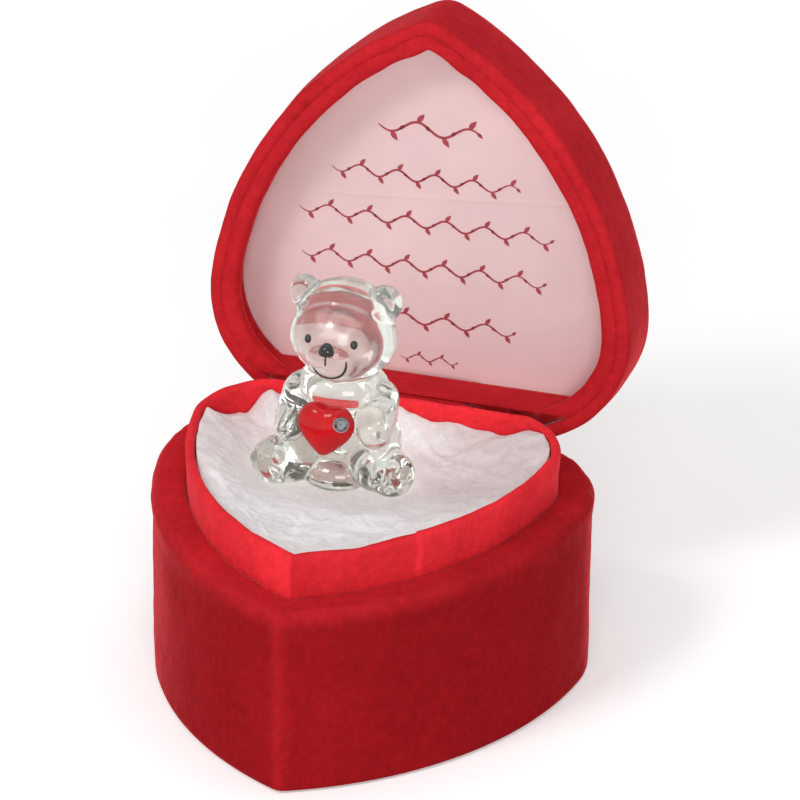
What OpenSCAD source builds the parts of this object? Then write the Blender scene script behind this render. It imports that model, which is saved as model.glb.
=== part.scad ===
// Clear glass bear holding a red heart, resting on white bedding in a velvet heart case with a hinged lid.
// Millimetres, +Z up. The origin is on the resting face, midway between the two lobe centres.
// The tip of the heart points to -Y and the hinge is at the back. The lid is drawn open.

/* [Case outline] */
// Width across the two lobes
case_w = 90; // [84:1:100]
// Radius of the outer shoulder of each lobe
lobe_r = 25; // [23:0.5:27]
// Radius of the long side curves
side_r = 76; // [72:1:84]
// Angle at which a side curve leaves its lobe, in degrees
side_lean = 6.5; // [5:0.5:8]
// Radius of the rounded tip
tip_r = 4.5; // [3.5:0.5:7]
// Depth of the cleft between the lobes
cleft_depth = 4; // [3:0.25:4.5]
// Radius where a lobe turns into the cleft
cleft_lobe_r = 13; // [11:0.5:14]
// Fillet radius at the foot of the cleft
cleft_fillet_r = 4; // [3:0.5:5]

/* [Base] */
// Height of the ledge that the lid closes on
base_h = 40.4; // [36:0.2:46]
// Thickness of the moulded base and lid shells
shell_t = 2; // [1.6:0.1:2.4]
// Thickness of the base floor
floor_t = 2.2; // [1.6:0.1:3]
// Thickness of the felt sole
sole_t = 1; // [0.6:0.1:1.4]
// Distance of the felt sole's edge from the outside of the case
sole_inset = 2; // [1.5:0.1:4]
// Thickness of the velvet covering
velvet_t = 0.9; // [0.7:0.05:1.1]
// Radius of the soft edges of the velvet
velvet_edge_r = 2.5; // [2.2:0.1:2.8]
// Gap left between pieces that are fitted together
fit_gap = 0.15; // [0.1:0.05:0.2]

/* [Collar] */
// Height of the collar above the ledge
collar_rise = 8.8; // [7:0.2:9.4]
// Distance of the collar from the outside of the case
collar_inset = 6.9; // [6.7:0.1:7.4]
// Thickness of the collar board
collar_board_t = 0.8; // [0.6:0.1:1]
// Thickness of the velvet on each side of the collar
collar_velvet_t = 0.4; // [0.3:0.05:0.5]
// Extra inset of the straight back of the collar
collar_back_inset = 1.6; // [1.4:0.1:2]

/* [Lid] */
// Depth of the lid from rim to top
lid_h = 19.5; // [18:0.5:24]
// Gap between the closed lid and the ledge
lid_gap = 0.2; // [0.15:0.05:0.3]
// Radius of the soft top edge of the lid
lid_edge_r = 5; // [3.5:0.5:6]
// Height that the padded top of the lid crowns
lid_crown = 1.6; // [0.8:0.2:2.4]
// Depth of the satin panel behind the rim
panel_recess = 10; // [9.8:0.1:11]
// Thickness of the card under the satin
card_t = 1; // [0.8:0.1:1.4]
// Thickness of the satin
satin_t = 0.4; // [0.3:0.05:0.5]
// Width of the rim from the outside of the lid
rim_w = 6; // [5.6:0.1:6.2]
// Thickness of the padded rim roll
roll_t = 4; // [3:0.25:5]
// Angle that the lid is open, in degrees
lid_open = 95; // [90:1:100]

/* [Hinge] */
// Width of the hinge
hinge_w = 15; // [12:0.5:16]
// Thickness of the hinge leaves
leaf_t = 0.8; // [0.6:0.05:0.9]
// Outer radius of the hinge knuckles
knuckle_r = 1.5; // [1.3:0.05:1.6]
// Radius of the hinge pin
pin_r = 0.6; // [0.5:0.05:0.8]
// Radial clearance of the pin in the knuckles
pin_gap = 0.05; // [0.03:0.01:0.08]
// Distance of the hinge line inside the back of the lobes
hinge_in = 0.8; // [0.6:0.1:1.2]
// Distance of the hinge line below the ledge
hinge_drop = 2; // [1.8:0.1:2.2]
// Height of each hinge leaf plate
leaf_h = 11; // [9:0.5:12]
// Radius of the rivet shanks
rivet_r = 0.8; // [0.6:0.05:1]

/* [Bedding] */
// Thickness of the white sheet
sheet_t = 0.8; // [0.6:0.1:1]
// Height of the sheet's edge above the foot of the bear
ruffle_rise = 3.6; // [2:0.2:4.4]
// Height of the ruffles themselves
ruffle_h = 1.3; // [0.5:0.1:1.6]
// Number of ruffles round the edge
ruffles = 9; // [6:1:12]
// Extra height of the edge at the back left
ruffle_lift = 1.6; // [0.4:0.2:2]

/* [Figurine] */
// Height of the bear to the top of its ears
bear_h = 42; // [38:0.5:42]
// Height of the bear's foot above the ledge
bear_seat = 2.6; // [2.6:0.1:3.4]
// Sideways place of the bear
bear_x = -4.9; // [-6:0.1:6]
// Front to back place of the bear
bear_y = -7; // [-9:0.5:-5]
// Width of the red heart
heart_w = 11.8; // [10.6:0.1:12]
// Diameter of the clear stone on the heart
stone_d = 3.2; // [2.6:0.1:3.6]

/* [Hidden] */
$fn = 48;

// Points on each stretch of half an outline: tip, side, shoulder, lobe and cleft fillet
tip_n = 4;
side_n = 9;
shoulder_n = 9;
lobe_n = 4;
fillet_n = 3;
// Smallest radius that a tip is drawn with, where a sharp fold is meant
fold_r = 0.8;

// Centres of the outline's arcs for the right half
lobe_x = case_w / 2 - lobe_r;
side_c = [lobe_x - (side_r - lobe_r) * cos(side_lean), (side_r - lobe_r) * sin(side_lean)];
cleft_lobe_c = [lobe_x, lobe_r - cleft_lobe_r];
cleft_sum = cleft_lobe_r + cleft_fillet_r;
cleft_turn = acos((cleft_sum - cleft_depth) / cleft_sum);
cleft_fillet_c = cleft_lobe_c + cleft_sum * [-sin(cleft_turn), cos(cleft_turn)];
cleft_y = lobe_r - cleft_depth;

// Heights in the base
shell_top = base_h - velvet_t;
floor_top = sole_t + floor_t;
collar_top = base_h + collar_rise;
collar_t = collar_board_t + 2 * collar_velvet_t;
bed_inset = collar_inset + collar_t + fit_gap;

// Heights in the closed lid
rim_z = base_h + lid_gap;
lid_top = rim_z + lid_h;
panel_z = rim_z + panel_recess;
card_z = panel_z + satin_t;
pad_z = card_z + card_t;
wall_inset = velvet_t + shell_t;
lid_shell_top = lid_top - velvet_t;
lid_bore_inset = max(wall_inset, lid_edge_r - shell_t);
panel_inset = lid_bore_inset + fit_gap;

// Hinge line and knuckles
hinge_y = lobe_r - hinge_in;
hinge_z = base_h - hinge_drop;
knuckles = 5;
knuckle_pitch = hinge_w / knuckles;
leaf_top = hinge_z + leaf_t / 2;
lid_leaf_z = rim_z + velvet_edge_r;
rivet_x = hinge_w / 4;
base_rivet_z = hinge_z - leaf_h / 2;
lid_rivet_z = (rim_z + roll_t + panel_z) / 2;
rivet_head_r = 2 * rivet_r;
rivet_head_t = 0.6;

// Foot of the bear, and the unit that its forms are drawn in
bear_foot_z = base_h + bear_seat;
bear_u = bear_h / 42;

function arc(c, r, a0, a1, n, first = 0) =
    [for (k = [first:n]) let (a = a0 + (a1 - a0) * k / n) c + r * [cos(a), sin(a)]];

// Right half of the outline from the tip, at a distance inside the case's outside
function tip_radius(inset) = max(tip_r - inset, fold_r);
function tip_centre(inset) =
    [0, side_c.y - sqrt((side_r - inset - tip_radius(inset)) ^ 2 - side_c.x ^ 2)];
function front_half(inset) = let (c = tip_centre(inset), turn = atan2(c.y - side_c.y, -side_c.x))
    concat(arc(c, tip_radius(inset), -90, turn, tip_n),
        arc(side_c, side_r - inset, turn, -side_lean, side_n, 1));
function cleft_half(inset) = concat(front_half(inset),
    arc([lobe_x, 0], lobe_r - inset, -side_lean, 90, shoulder_n, 1),
    arc(cleft_lobe_c, cleft_lobe_r - inset, 90, 90 + cleft_turn, lobe_n, 1),
    arc(cleft_fillet_c, cleft_fillet_r + inset, cleft_turn - 90, -90, fillet_n, 1));
// The same with a straight back, as the collar and what fits it have
function straight_half(inset, back) = let (r = lobe_r - inset, turn = asin(back / r),
        last = lobe_x + r * cos(turn), n = lobe_n + fillet_n)
    concat(front_half(inset), arc([lobe_x, 0], r, -side_lean, turn, shoulder_n, 1),
        [for (k = [1:n]) [last + (cleft_fillet_c.x - last) * k / n, back]]);
function ring(inset, back = undef) =
    let (half = is_undef(back) ? cleft_half(inset) : straight_half(inset, back))
    concat(half, [for (k = [len(half) - 1:-1:1]) [-half[k].x, half[k].y]]);
// Depth of the collar's straight back at an inset
function collar_back(inset) = lobe_r - inset - collar_back_inset;
function collar_ring(inset) = ring(inset, collar_back(inset));

function lifted(points, z) = [for (p = points) [p.x, p.y, z]];
// Two triangles between each pair of points on two rings, split along either diagonal
function loft_sides(rows, n, close, mirrored) = [for (j = [0:rows - (close ? 1 : 2)], k = [0:n - 1])
    let (a = j * n + k, b = j * n + (k + 1) % n, far = (j + 1) % rows * n, c = far + k, d = far + (k + 1) % n)
    each mirrored ? [[a, c, b], [b, c, d]] : [[a, d, b], [a, c, d]]];

// Closed band through rings of points, or a solid capped at its first and last ring
module loft(rings, close = true, mirrored = false) {
    n = len(rings[0]);
    caps = close ? [] : [[for (k = [0:n - 1]) k], [for (k = [n - 1:-1:0]) (len(rings) - 1) * n + k]];
    polyhedron([for (r = rings) each r], concat(loft_sides(len(rings), n, close, mirrored), caps),
        convexity = 8);
}

module slab(z0, z1, outline) translate([0, 0, z0]) linear_extrude(z1 - z0) polygon(outline);

// Rows of [inset, height] round a quarter of a soft edge
function edge(inset, z, r, a0, a1, n = 3) =
    [for (k = [0:n]) let (a = a0 + (a1 - a0) * k / n) [inset + r * (1 - cos(a)), z + r * (sin(a) - 1)]];
function rings_of(rows) = [for (p = rows) lifted(ring(p[0]), p[1])];
function collar_rings(rows) = [for (p = rows) lifted(collar_ring(p[0]), p[1])];

module as_open() translate([0, hinge_y, hinge_z]) rotate([-lid_open, 0, 0])
    translate([0, -hinge_y, -hinge_z]) children();

module base_shell() color("dimgray") difference() {
    slab(sole_t, shell_top, ring(velvet_t));
    slab(floor_top, shell_top - shell_t, ring(wall_inset));
    slab(floor_top, base_h, collar_ring(collar_inset - fit_gap));
    rivet_holes(base_rivet_z);
}

module base_velvet() color("firebrick") difference() {
    hem = velvet_t + sole_inset / 4;
    loft(concat(
        rings_of(concat([[hem, sole_t / 3], [velvet_t / 2, sole_t / 3], [0, sole_t]],
            edge(0, base_h, velvet_edge_r, 0, 90))),
        collar_rings([[collar_inset - fit_gap, base_h], [collar_inset - fit_gap, shell_top]]),
        rings_of([[velvet_t, shell_top], [velvet_t, sole_t], [hem, sole_t]])));
    rivet_holes(base_rivet_z);
}

module base_sole() color("maroon") slab(0, sole_t, ring(sole_inset));

module collar_board() color("wheat") difference() {
    slab(floor_top, collar_top - collar_velvet_t, collar_ring(collar_inset + collar_velvet_t));
    slab(0, collar_top, collar_ring(collar_inset + collar_velvet_t + collar_board_t));
}

module collar_velvet() color("crimson") {
    outer = collar_inset;
    inner = collar_inset + collar_t;
    hem_z = base_h - 2 * shell_t;
    loft(collar_rings([[outer, hem_z], [outer, collar_top - collar_velvet_t],
        [outer + collar_velvet_t, collar_top], [inner - collar_velvet_t, collar_top],
        [inner, collar_top - collar_velvet_t], [inner, floor_top], [inner - collar_velvet_t, floor_top],
        [inner - collar_velvet_t, collar_top - collar_velvet_t],
        [outer + collar_velvet_t, collar_top - collar_velvet_t], [outer + collar_velvet_t, hem_z]]));
}

// Height of the bedding: level under the bear, rising in ruffles to the collar
bed_c = [bear_x, bear_y];
bed_z = bear_foot_z - fit_gap;
bed_level = 0.62;
bed_steps = [0.15, 0.4, bed_level, 0.72, 0.82, 0.91, 1];
lift_angle = 140;
function bed_rise(s) = let (t = max(0, (s - bed_level) / (1 - bed_level))) t * t * (3 - 2 * t);
function bed_height(a, s) = bed_z + bed_rise(s)
    * (ruffle_rise + ruffle_h * sin(ruffles * a) + ruffle_lift * cos(a - lift_angle));
function bed_ring(s, inset, drop) = [for (p = collar_ring(inset)) let (d = p - bed_c, q = bed_c + s * d)
    [q.x, q.y, bed_height(atan2(d.y, d.x), s) - drop]];

module bedding_sheet() color("white") {
    loft(concat([for (s = bed_steps) bed_ring(s, bed_inset, sheet_t)],
        [for (k = [len(bed_steps) - 1:-1:0]) bed_ring(bed_steps[k], bed_inset, 0)]), false);
}

module fill_pad() color("snow") {
    waist = 1;
    loft(concat(collar_rings([[bed_inset + waist, floor_top], [bed_inset, floor_top + 4 * waist],
            [bed_inset + waist, (floor_top + bed_z) / 2]]),
        [for (k = [len(bed_steps) - 1:-1:0]) bed_ring(bed_steps[k], bed_inset, sheet_t + fit_gap)]),
        false, true);
}

// Knuckles of one leaf, counted from the left
module knuckle_row(first) for (k = [first:2:knuckles - 1])
    translate([-hinge_w / 2 + (k + 0.5) * knuckle_pitch, hinge_y, hinge_z]) children();
module knuckle_bar(r) rotate([0, 90, 0]) cylinder(r = r, h = knuckle_pitch - fit_gap, center = true);
module pin_bore() translate([0, hinge_y, hinge_z]) rotate([0, 90, 0])
    cylinder(r = pin_r + pin_gap, h = 2 * hinge_w, center = true);
module rivet_holes(z) for (x = [-rivet_x, rivet_x]) translate([x, cleft_y, z]) rotate([90, 0, 0])
    cylinder(r = rivet_r + pin_gap, h = 4 * shell_t, center = true);
module leaf_plate(z0, z1) translate([-hinge_w / 2, cleft_y, z0]) cube([hinge_w, leaf_t, z1 - z0]);

module hinge_base_leaf() color("goldenrod") difference() {
    union() {
        leaf_plate(hinge_z - leaf_h, leaf_top);
        knuckle_row(0) {
            knuckle_bar(knuckle_r);
            translate([-(knuckle_pitch - fit_gap) / 2, cleft_y - hinge_y, -leaf_t / 2])
                cube([knuckle_pitch - fit_gap, hinge_y - cleft_y, leaf_t]);
        }
    }
    pin_bore();
    rivet_holes(base_rivet_z);
}

module hinge_lid_leaf() color("goldenrod") as_open() difference() {
    union() {
        leaf_plate(lid_leaf_z, lid_leaf_z + leaf_h);
        translate([-hinge_w / 2, cleft_y, lid_leaf_z])
            cube([hinge_w, hinge_y - cleft_y + leaf_t / 2, leaf_t]);
        knuckle_row(1) {
            knuckle_bar(knuckle_r);
            translate([-(knuckle_pitch - fit_gap) / 2, -leaf_t / 2, 0])
                cube([knuckle_pitch - fit_gap, leaf_t, lid_leaf_z - hinge_z + leaf_t]);
        }
    }
    pin_bore();
    rivet_holes(lid_rivet_z);
}

module hinge_pin() color("silver") translate([0, hinge_y, hinge_z]) rotate([0, 90, 0]) {
    cylinder(r = pin_r, h = hinge_w + 2 * pin_r, center = true);
    for (s = [-1, 1]) translate([0, 0, s * (hinge_w + pin_r) / 2])
        cylinder(r = 1.6 * pin_r, h = pin_r, center = true);
}

// Rivets through a leaf and the covered wall behind it, with a head at each end
module rivets(z, wall) for (x = [-rivet_x, rivet_x]) translate([x, cleft_y + leaf_t, z]) rotate([90, 0, 0]) {
    grip = leaf_t + wall;
    cylinder(r = rivet_r, h = grip);
    translate([0, 0, -rivet_head_t]) cylinder(r = rivet_head_r, h = rivet_head_t);
    translate([0, 0, grip]) cylinder(r = rivet_head_r, h = rivet_head_t);
}
module hinge_base_rivets() color("silver") rivets(base_rivet_z, wall_inset);
module hinge_lid_rivets() color("silver") as_open() rivets(lid_rivet_z, lid_bore_inset);

// Soft top edge of the lid shell, which the velvet follows
lid_edge = edge(velvet_t, lid_shell_top, lid_edge_r - velvet_t, 0, 90);

module lid_shell() color("dimgray") as_open() difference() {
    loft(rings_of(concat([[velvet_t, rim_z + velvet_t]], lid_edge)), false);
    slab(rim_z, lid_shell_top - shell_t, ring(lid_bore_inset));
    rivet_holes(lid_rivet_z);
}

module lid_velvet() color("firebrick") as_open() difference() {
    soft = velvet_t * 1.6;
    hem = [[velvet_t, rim_z + velvet_t], [wall_inset, rim_z + velvet_t], [wall_inset, rim_z],
        [soft, rim_z], [0, rim_z + soft]];
    crown = [[lid_edge_r + 8, lid_top + 0.7 * lid_crown], [lid_edge_r + 20, lid_top + lid_crown]];
    loft(rings_of(concat([for (k = [len(lid_edge) - 1:-1:0]) lid_edge[k]], hem,
        edge(0, lid_top, lid_edge_r, 0, 90, 4), crown)), false);
    rivet_holes(lid_rivet_z);
}

// Padded roll inside the rim, with a strip that hangs from it to the panel and hides the rivet heads
module lid_rim_roll() color("crimson") as_open() {
    inner = rim_w;
    outer = wall_inset + fit_gap;
    soft = (inner - outer) / 2;
    strip_outer = lid_bore_inset + rivet_head_t + fit_gap;
    strip_inner = strip_outer + collar_velvet_t;
    strip_end = panel_z - fit_gap;
    root_z = rim_z + roll_t;
    outer_back = cleft_y - outer;
    rows = [[inner - soft, rim_z], [inner - soft / 3, rim_z + soft / 3], [inner, rim_z + soft],
        [inner, root_z - soft]];
    loft(concat(rings_of([[outer, root_z + soft / 2], [outer, rim_z + velvet_t]]),
        [for (p = rows) let (t = (p[0] - outer) / (inner - outer))
            lifted(ring(p[0], outer_back + t * (collar_back(inner) - outer_back)), p[1])],
        [for (z = [root_z, strip_end]) lifted(ring(strip_inner, cleft_y - strip_inner), z)],
        [for (z = [strip_end, root_z + soft / 2]) lifted(ring(strip_outer, cleft_y - strip_outer), z)]));
}

module lid_backing_pad() color("lightyellow") as_open()
    slab(pad_z, lid_shell_top - shell_t, ring(panel_inset));
module panel_card() color("antiquewhite") as_open() slab(card_z, pad_z, ring(panel_inset));
module satin_panel() color("mistyrose") as_open() slab(panel_z, card_z, ring(panel_inset));

module in_bear() translate([bear_x, bear_y, bear_foot_z]) children();
module both_sides() for (s = [0, 1]) mirror([s, 0, 0]) children();

// Rounded form with its own radius along each axis
module egg(c, r, sides = 16) translate(bear_u * c) scale(bear_u * r) hull() sphere(1, $fn = sides);
// Limb that tapers from one rounded form to the next
module limb(a, ra, b, rb) hull() {
    translate(bear_u * a) sphere(bear_u * ra, $fn = 16);
    translate(bear_u * b) sphere(bear_u * rb, $fn = 16);
}

// Places on the bear, with its foot at height 0 and its face to -Y
body_turn = 4;
ear_c = bear_u * [8.1, 2.2, 38];
eye_c = bear_u * [4.8, -7, 32.8];
eye_r = bear_u;
nose_c = bear_u * [-0.2, -9.9, 31.9];
nose_r = 1.5 * bear_u;
mouth_c = bear_u * [0.2, -9.5, 29.2];
mouth_r = 3.6 * bear_u;
mouth_bead_r = 0.3 * bear_u;
mouth_start = 200;
mouth_sweep = 172;
heart_c = bear_u * [0.4, -10.5, 15.1];
heart_t = 0.48 * heart_w;
heart_lean = [-6, 9, 0];

// Enamel beads of the face, set into sockets that are wider by a gap
module eye_beads(gap) both_sides() translate(eye_c) sphere(eye_r + gap);
module nose_bead(gap) translate(nose_c) sphere(nose_r + gap);
module mouth_bead(gap) translate(mouth_c) rotate([90, 0, 0]) rotate([0, 0, mouth_start])
    rotate_extrude(angle = mouth_sweep) translate([mouth_r, 0]) circle(mouth_bead_r + gap);

// Ear: a thick rounded disc with a dished front
module ear() translate(ear_c) rotate([0, 0, 18]) difference() {
    egg([0, 0, 0], [3.8, 2.7, 4]);
    egg([0, -3.2, 0.2], [2.6, 2, 2.7]);
}

module bear_body() {
    egg([0, 1.4, 11.4], [10.4, 9.4, 11.4], 24);
    egg([0, 1.6, 7.4], [12.2, 9.2, 8.2], 24);
    egg([0, 1, 19], [9.6, 7.6, 5.8], 24);
    egg([0, 10.6, 4.6], [3, 2.8, 3]);
    egg([0, -4.4, 2.6], [7.4, 6, 4.2]);
}

module bear_head() {
    egg([0, 2.4, 33.4], [10.3, 8, 8.6], 28);
    egg([0, 1.2, 30], [11.1, 8.6, 8.8], 28);
    egg([0, -1.2, 30.6], [8.8, 7.8, 8.6], 28);
    egg([0.1, -6.6, 29], [4.7, 4.4, 4.5]);
    both_sides() ear();
}

module bear_limbs() both_sides() {
    limb([7.6, -0.6, 17.6], 4.4, [8.2, -5, 14.4], 4.2);
    limb([8.2, -5, 14.4], 4.2, [8.6, -8.2, 14], 3.3);
    limb([6.2, -0.4, 6.4], 6.4, [8.8, -6, 5.6], 5.5);
    egg([11.6, -7.2, 4.9], [5.3, 4.4, 5.3]);
    for (x = [-2.5, 0, 2.5]) egg([12 + x, -10.6, 7.6 - abs(x) / 3], [1.5, 1.6, 1.7], 10);
}

module bear_glass() color("azure", 0.5) in_bear() difference() {
    $fn = 20;
    union() {
        rotate([0, 0, body_turn]) {
            bear_body();
            bear_limbs();
        }
        bear_head();
    }
    translate([0, 0, -bear_h / 2]) cube([2 * bear_h, 2 * bear_h, bear_h], center = true);
    eye_beads(pin_gap);
    nose_bead(pin_gap);
    mouth_bead(pin_gap);
}

module bear_eyes() color("black") in_bear() eye_beads(0);
module bear_nose() color("black") in_bear() nose_bead(0);
module bear_mouth() color("black") in_bear() mouth_bead(0);

// Puffy heart: its outline drawn in towards the middle while the faces swell
heart_n = 32;
heart_full = 0.45;
heart_steps = [0.2, 0.5, 0.75, 0.92, 1];
// Heart curve filled out towards an oval, for a width of 32
function heart_curve(a) = (1 - heart_full)
    * [16 * sin(a) ^ 3, 13 * cos(a) - 5 * cos(2 * a) - 2 * cos(3 * a) - cos(4 * a)]
    + heart_full * [16 * sin(a), 16 * cos(a) - 2];
function heart_ring(s, side) = [for (k = [0:heart_n - 1])
    let (p = s * heart_w / 32 * heart_curve(360 * k / heart_n))
    [p.x, side * heart_t / 2 * sqrt(1 - s * s), p.y]];

module heart_at() in_bear() translate(heart_c) rotate(heart_lean) children();
module stone_at() heart_at() translate([heart_w * 0.25, -heart_t * 0.36, heart_w * 0.2])
    rotate([86, 0, 16]) children();

module heart_charm() color("red") difference() {
    heart_at() loft(concat([for (s = heart_steps) heart_ring(s, 1)],
        [for (k = [len(heart_steps) - 2:-1:0]) heart_ring(heart_steps[k], -1)]), false);
    stone_at() cylinder(r = stone_d / 2 + pin_gap, h = stone_d, center = true);
}

// Shallow metal cup with a rim that holds the cut stone
stone_seat = stone_d / 2;
stone_wall = 0.25;
module stone_setting() color("silver") stone_at() rotate_extrude()
    polygon([[0, -stone_seat], [stone_seat, -stone_seat], [stone_seat, stone_wall],
        [stone_seat - stone_wall, stone_wall], [stone_seat - stone_wall, 0], [0, -stone_d / 3]]);

module heart_stone() color("lightcyan") stone_at() rotate_extrude($fn = 8) {
    girdle = stone_seat - stone_wall - pin_gap;
    polygon([[0, -stone_d / 3 + pin_gap], [girdle, pin_gap], [girdle, stone_wall],
        [stone_d / 4, 2 * stone_wall], [0, 2 * stone_wall]]);
}

base_shell();
base_velvet();
base_sole();
collar_board();
collar_velvet();
fill_pad();
bedding_sheet();
hinge_base_leaf();
hinge_base_rivets();
hinge_pin();
lid_shell();
lid_velvet();
lid_rim_roll();
lid_backing_pad();
panel_card();
satin_panel();
hinge_lid_leaf();
hinge_lid_rivets();
bear_glass();
bear_eyes();
bear_nose();
bear_mouth();
heart_charm();
stone_setting();
heart_stone();
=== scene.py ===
"""A clear glass bear in a red velvet heart case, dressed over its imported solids."""
import math

import bmesh
import bpy
import numpy as np
from bpy.props import FloatProperty, FloatVectorProperty, PointerProperty
from mathutils import Euler, Matrix, Vector, noise
from mathutils.bvhtree import BVHTree


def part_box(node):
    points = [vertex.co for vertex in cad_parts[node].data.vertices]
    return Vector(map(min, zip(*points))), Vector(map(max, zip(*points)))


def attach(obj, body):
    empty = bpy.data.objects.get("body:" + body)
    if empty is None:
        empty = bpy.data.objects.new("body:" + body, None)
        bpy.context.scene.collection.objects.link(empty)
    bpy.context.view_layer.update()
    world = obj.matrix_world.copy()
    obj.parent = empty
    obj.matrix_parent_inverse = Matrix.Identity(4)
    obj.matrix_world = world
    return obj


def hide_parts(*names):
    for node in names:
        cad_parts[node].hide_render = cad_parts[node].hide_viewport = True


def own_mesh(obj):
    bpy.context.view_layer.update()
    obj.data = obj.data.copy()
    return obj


bl_info = {
    "name": "Glass bear in a heart case",
    "version": (1, 0, 0),
    "blender": (4, 5, 0),
    "location": "3D View > Sidebar > Heart case",
    "description": "Velvet, satin, bedding and glass for a bear in a hinged heart case",
    "category": "Object",
}

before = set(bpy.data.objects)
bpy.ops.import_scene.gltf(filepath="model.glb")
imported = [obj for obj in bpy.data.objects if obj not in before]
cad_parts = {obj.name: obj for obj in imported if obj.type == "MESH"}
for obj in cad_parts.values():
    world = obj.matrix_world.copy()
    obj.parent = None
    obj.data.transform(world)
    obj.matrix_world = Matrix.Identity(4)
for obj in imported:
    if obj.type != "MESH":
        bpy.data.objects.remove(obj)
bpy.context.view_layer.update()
BEAR_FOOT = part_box("bear_glass")[0].z

MM = 0.001
# Points of an outline, and radius of a sharp fold in cloth
RING_POINTS = 480
FOLD_RADIUS = 0.8 * MM
# Attribute that keeps how much of a finish's second colour a point shows
SHARE = "share"


def length(name, description, default, low=0.0, high=1.0):
    """A length in metres that the sidebar shows in the scene's units."""
    return FloatProperty(
        name=name, description=description, default=default, min=low, max=high, precision=5,
        subtype="DISTANCE", unit="LENGTH",
    )


def angle(name, description, default):
    """An angle given in degrees and kept in radians."""
    return FloatProperty(
        name=name, description=description, default=math.radians(default), subtype="ANGLE", unit="ROTATION",
    )


def strength(name, description, default):
    """A strength of light without a unit."""
    return FloatProperty(name=name, description=description, default=default, min=0.0)


def power(name, description, default):
    """Power of a lamp in watts."""
    return FloatProperty(
        name=name, description=description, default=default, min=0.0, subtype="POWER", unit="POWER",
    )


def colour(name, description, default):
    """A linear colour without alpha."""
    return FloatVectorProperty(
        name=name, description=description, default=default, size=3, min=0.0, max=1.0, subtype="COLOR",
    )


class CaseSizes(bpy.types.PropertyGroup):
    """Sizes of the heart case and of what covers it."""

    width: length("Width", "Width across the two lobes", 90 * MM)
    lobe_radius: length("Lobe radius", "Radius of the outer shoulder of each lobe", 25 * MM)
    side_radius: length("Side radius", "Radius of the long side curves", 76 * MM)
    side_lean: angle("Side lean", "Angle at which a side curve leaves its lobe", 6.5)
    cleft_depth: length("Cleft depth", "Depth of the cleft between the lobes", 4 * MM)
    cleft_lobe_radius: length("Cleft lobe radius", "Radius where a lobe turns into the cleft", 13 * MM)
    cleft_fillet: length("Cleft fillet", "Fillet radius at the foot of the cleft", 4 * MM)
    base_tip: length("Base tip", "Radius of the velvet fold at the tip of the base", 3.2 * MM)
    lid_tip: length("Lid tip", "Radius of the padded tip of the lid", 6 * MM)
    base_edge: length("Ledge edge", "Radius of the soft edge of the ledge", 2.5 * MM)
    velvet: length("Velvet", "Thickness of the velvet covering", 0.9 * MM)
    collar_inset: length("Collar inset", "Distance of the collar from the outside of the case", 6.9 * MM)
    collar_back: length("Collar back", "Extra inset of the straight back of the collar", 1.6 * MM)
    collar_thickness: length("Collar thickness", "Thickness of the covered collar", 1.6 * MM)
    lid_edge: length("Lid edge", "Radius of the soft top edge of the lid", 5 * MM)
    lid_crown: length("Lid crown", "Height that the padded top of the lid crowns", 1.6 * MM)
    rim_width: length("Rim width", "Width of the lid's rim from its outside", 6 * MM)
    lid_gap: length("Lid gap", "Gap between the closed lid and the ledge", 0.2 * MM)
    lid_height: length("Lid height", "Depth of the lid from its rim to its top", 19.5 * MM)
    panel_recess: length("Panel recess", "Depth of the satin behind the rim", 10 * MM)
    lid_open: angle("Lid open", "Angle that the lid stands open at rest", 95)


class CaseColours(bpy.types.PropertyGroup):
    """Colours of the case."""

    velvet: colour("Velvet", "Velvet seen into the nap", (0.285, 0.007, 0.010))
    # Lighter velvet: brushed nap, and painted light where the base's ledge faces up
    velvet_brushed_and_lit: colour("Brushed and lit velvet", "Velvet brushed the other way, and velvet in painted light", (0.86, 0.032, 0.044))
    sheen: colour("Velvet sheen", "Light that the pile catches at a slant", (1.0, 0.12, 0.14))
    satin: colour("Satin", "Pale pink satin of the lid panel", (0.755, 0.54, 0.545))
    ornament: colour("Ornament", "Dark red of the printed ornament", (0.36, 0.05, 0.065))
    sheet: colour("Bedding", "White of the sheer bedding", (0.93, 0.90, 0.905))
    # Pink-grey painted shade of the bedding beside the bear
    sheet_shaded: colour("Shaded bedding", "Bedding in painted shade, pinker beside red velvet", (0.66, 0.58, 0.585))
    wadding: colour("Wadding", "White of the wadding", (0.80, 0.79, 0.77))
    felt: colour("Felt", "Red felt under the base", (0.20, 0.012, 0.014))
    plastic: colour("Plastic", "Grey of the moulded shells", (0.16, 0.16, 0.17))
    board: colour("Board", "Grey board of the collar and the panel card", (0.42, 0.38, 0.32))
    foam: colour("Foam", "Yellowed foam behind the panel", (0.72, 0.66, 0.46))
    brass: colour("Brass", "Plated brass of the hinge", (0.80, 0.58, 0.22))
    steel: colour("Steel", "Bright steel of the hinge pin", (0.66, 0.66, 0.68))


class FigurineSizes(bpy.types.PropertyGroup):
    """Sizes of the glass bear and of its heart."""

    height: length("Height", "Height of the bear to the top of its ears", 42 * MM)
    place_x: length("Place across", "Sideways place of the bear", -4.9 * MM, low=-1.0)
    place_y: length("Place in depth", "Front to back place of the bear", -7 * MM, low=-1.0)
    heart_width: length("Heart width", "Width of the red heart", 11.8 * MM)
    heart_depth: length("Heart depth", "Thickness of the red heart", 5.7 * MM)


class FigurineColours(bpy.types.PropertyGroup):
    """Colours of the figurine."""

    glass: colour("Glass", "Faint tint of the clear glass", (0.80, 0.82, 0.775))
    glass_thick: colour("Thick glass", "Greyer tint of the thick glass low down", (0.50, 0.485, 0.42))
    heart: colour("Heart", "Red enamel of the heart", (0.53, 0.006, 0.008))
    enamel: colour("Face enamel", "Dark enamel of the eyes, nose and mouth", (0.012, 0.010, 0.010))
    stone: colour("Stone", "Cut stone on the heart", (0.24, 0.245, 0.26))
    setting: colour("Setting", "Metal of the stone's cup", (0.26, 0.265, 0.28))


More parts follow.
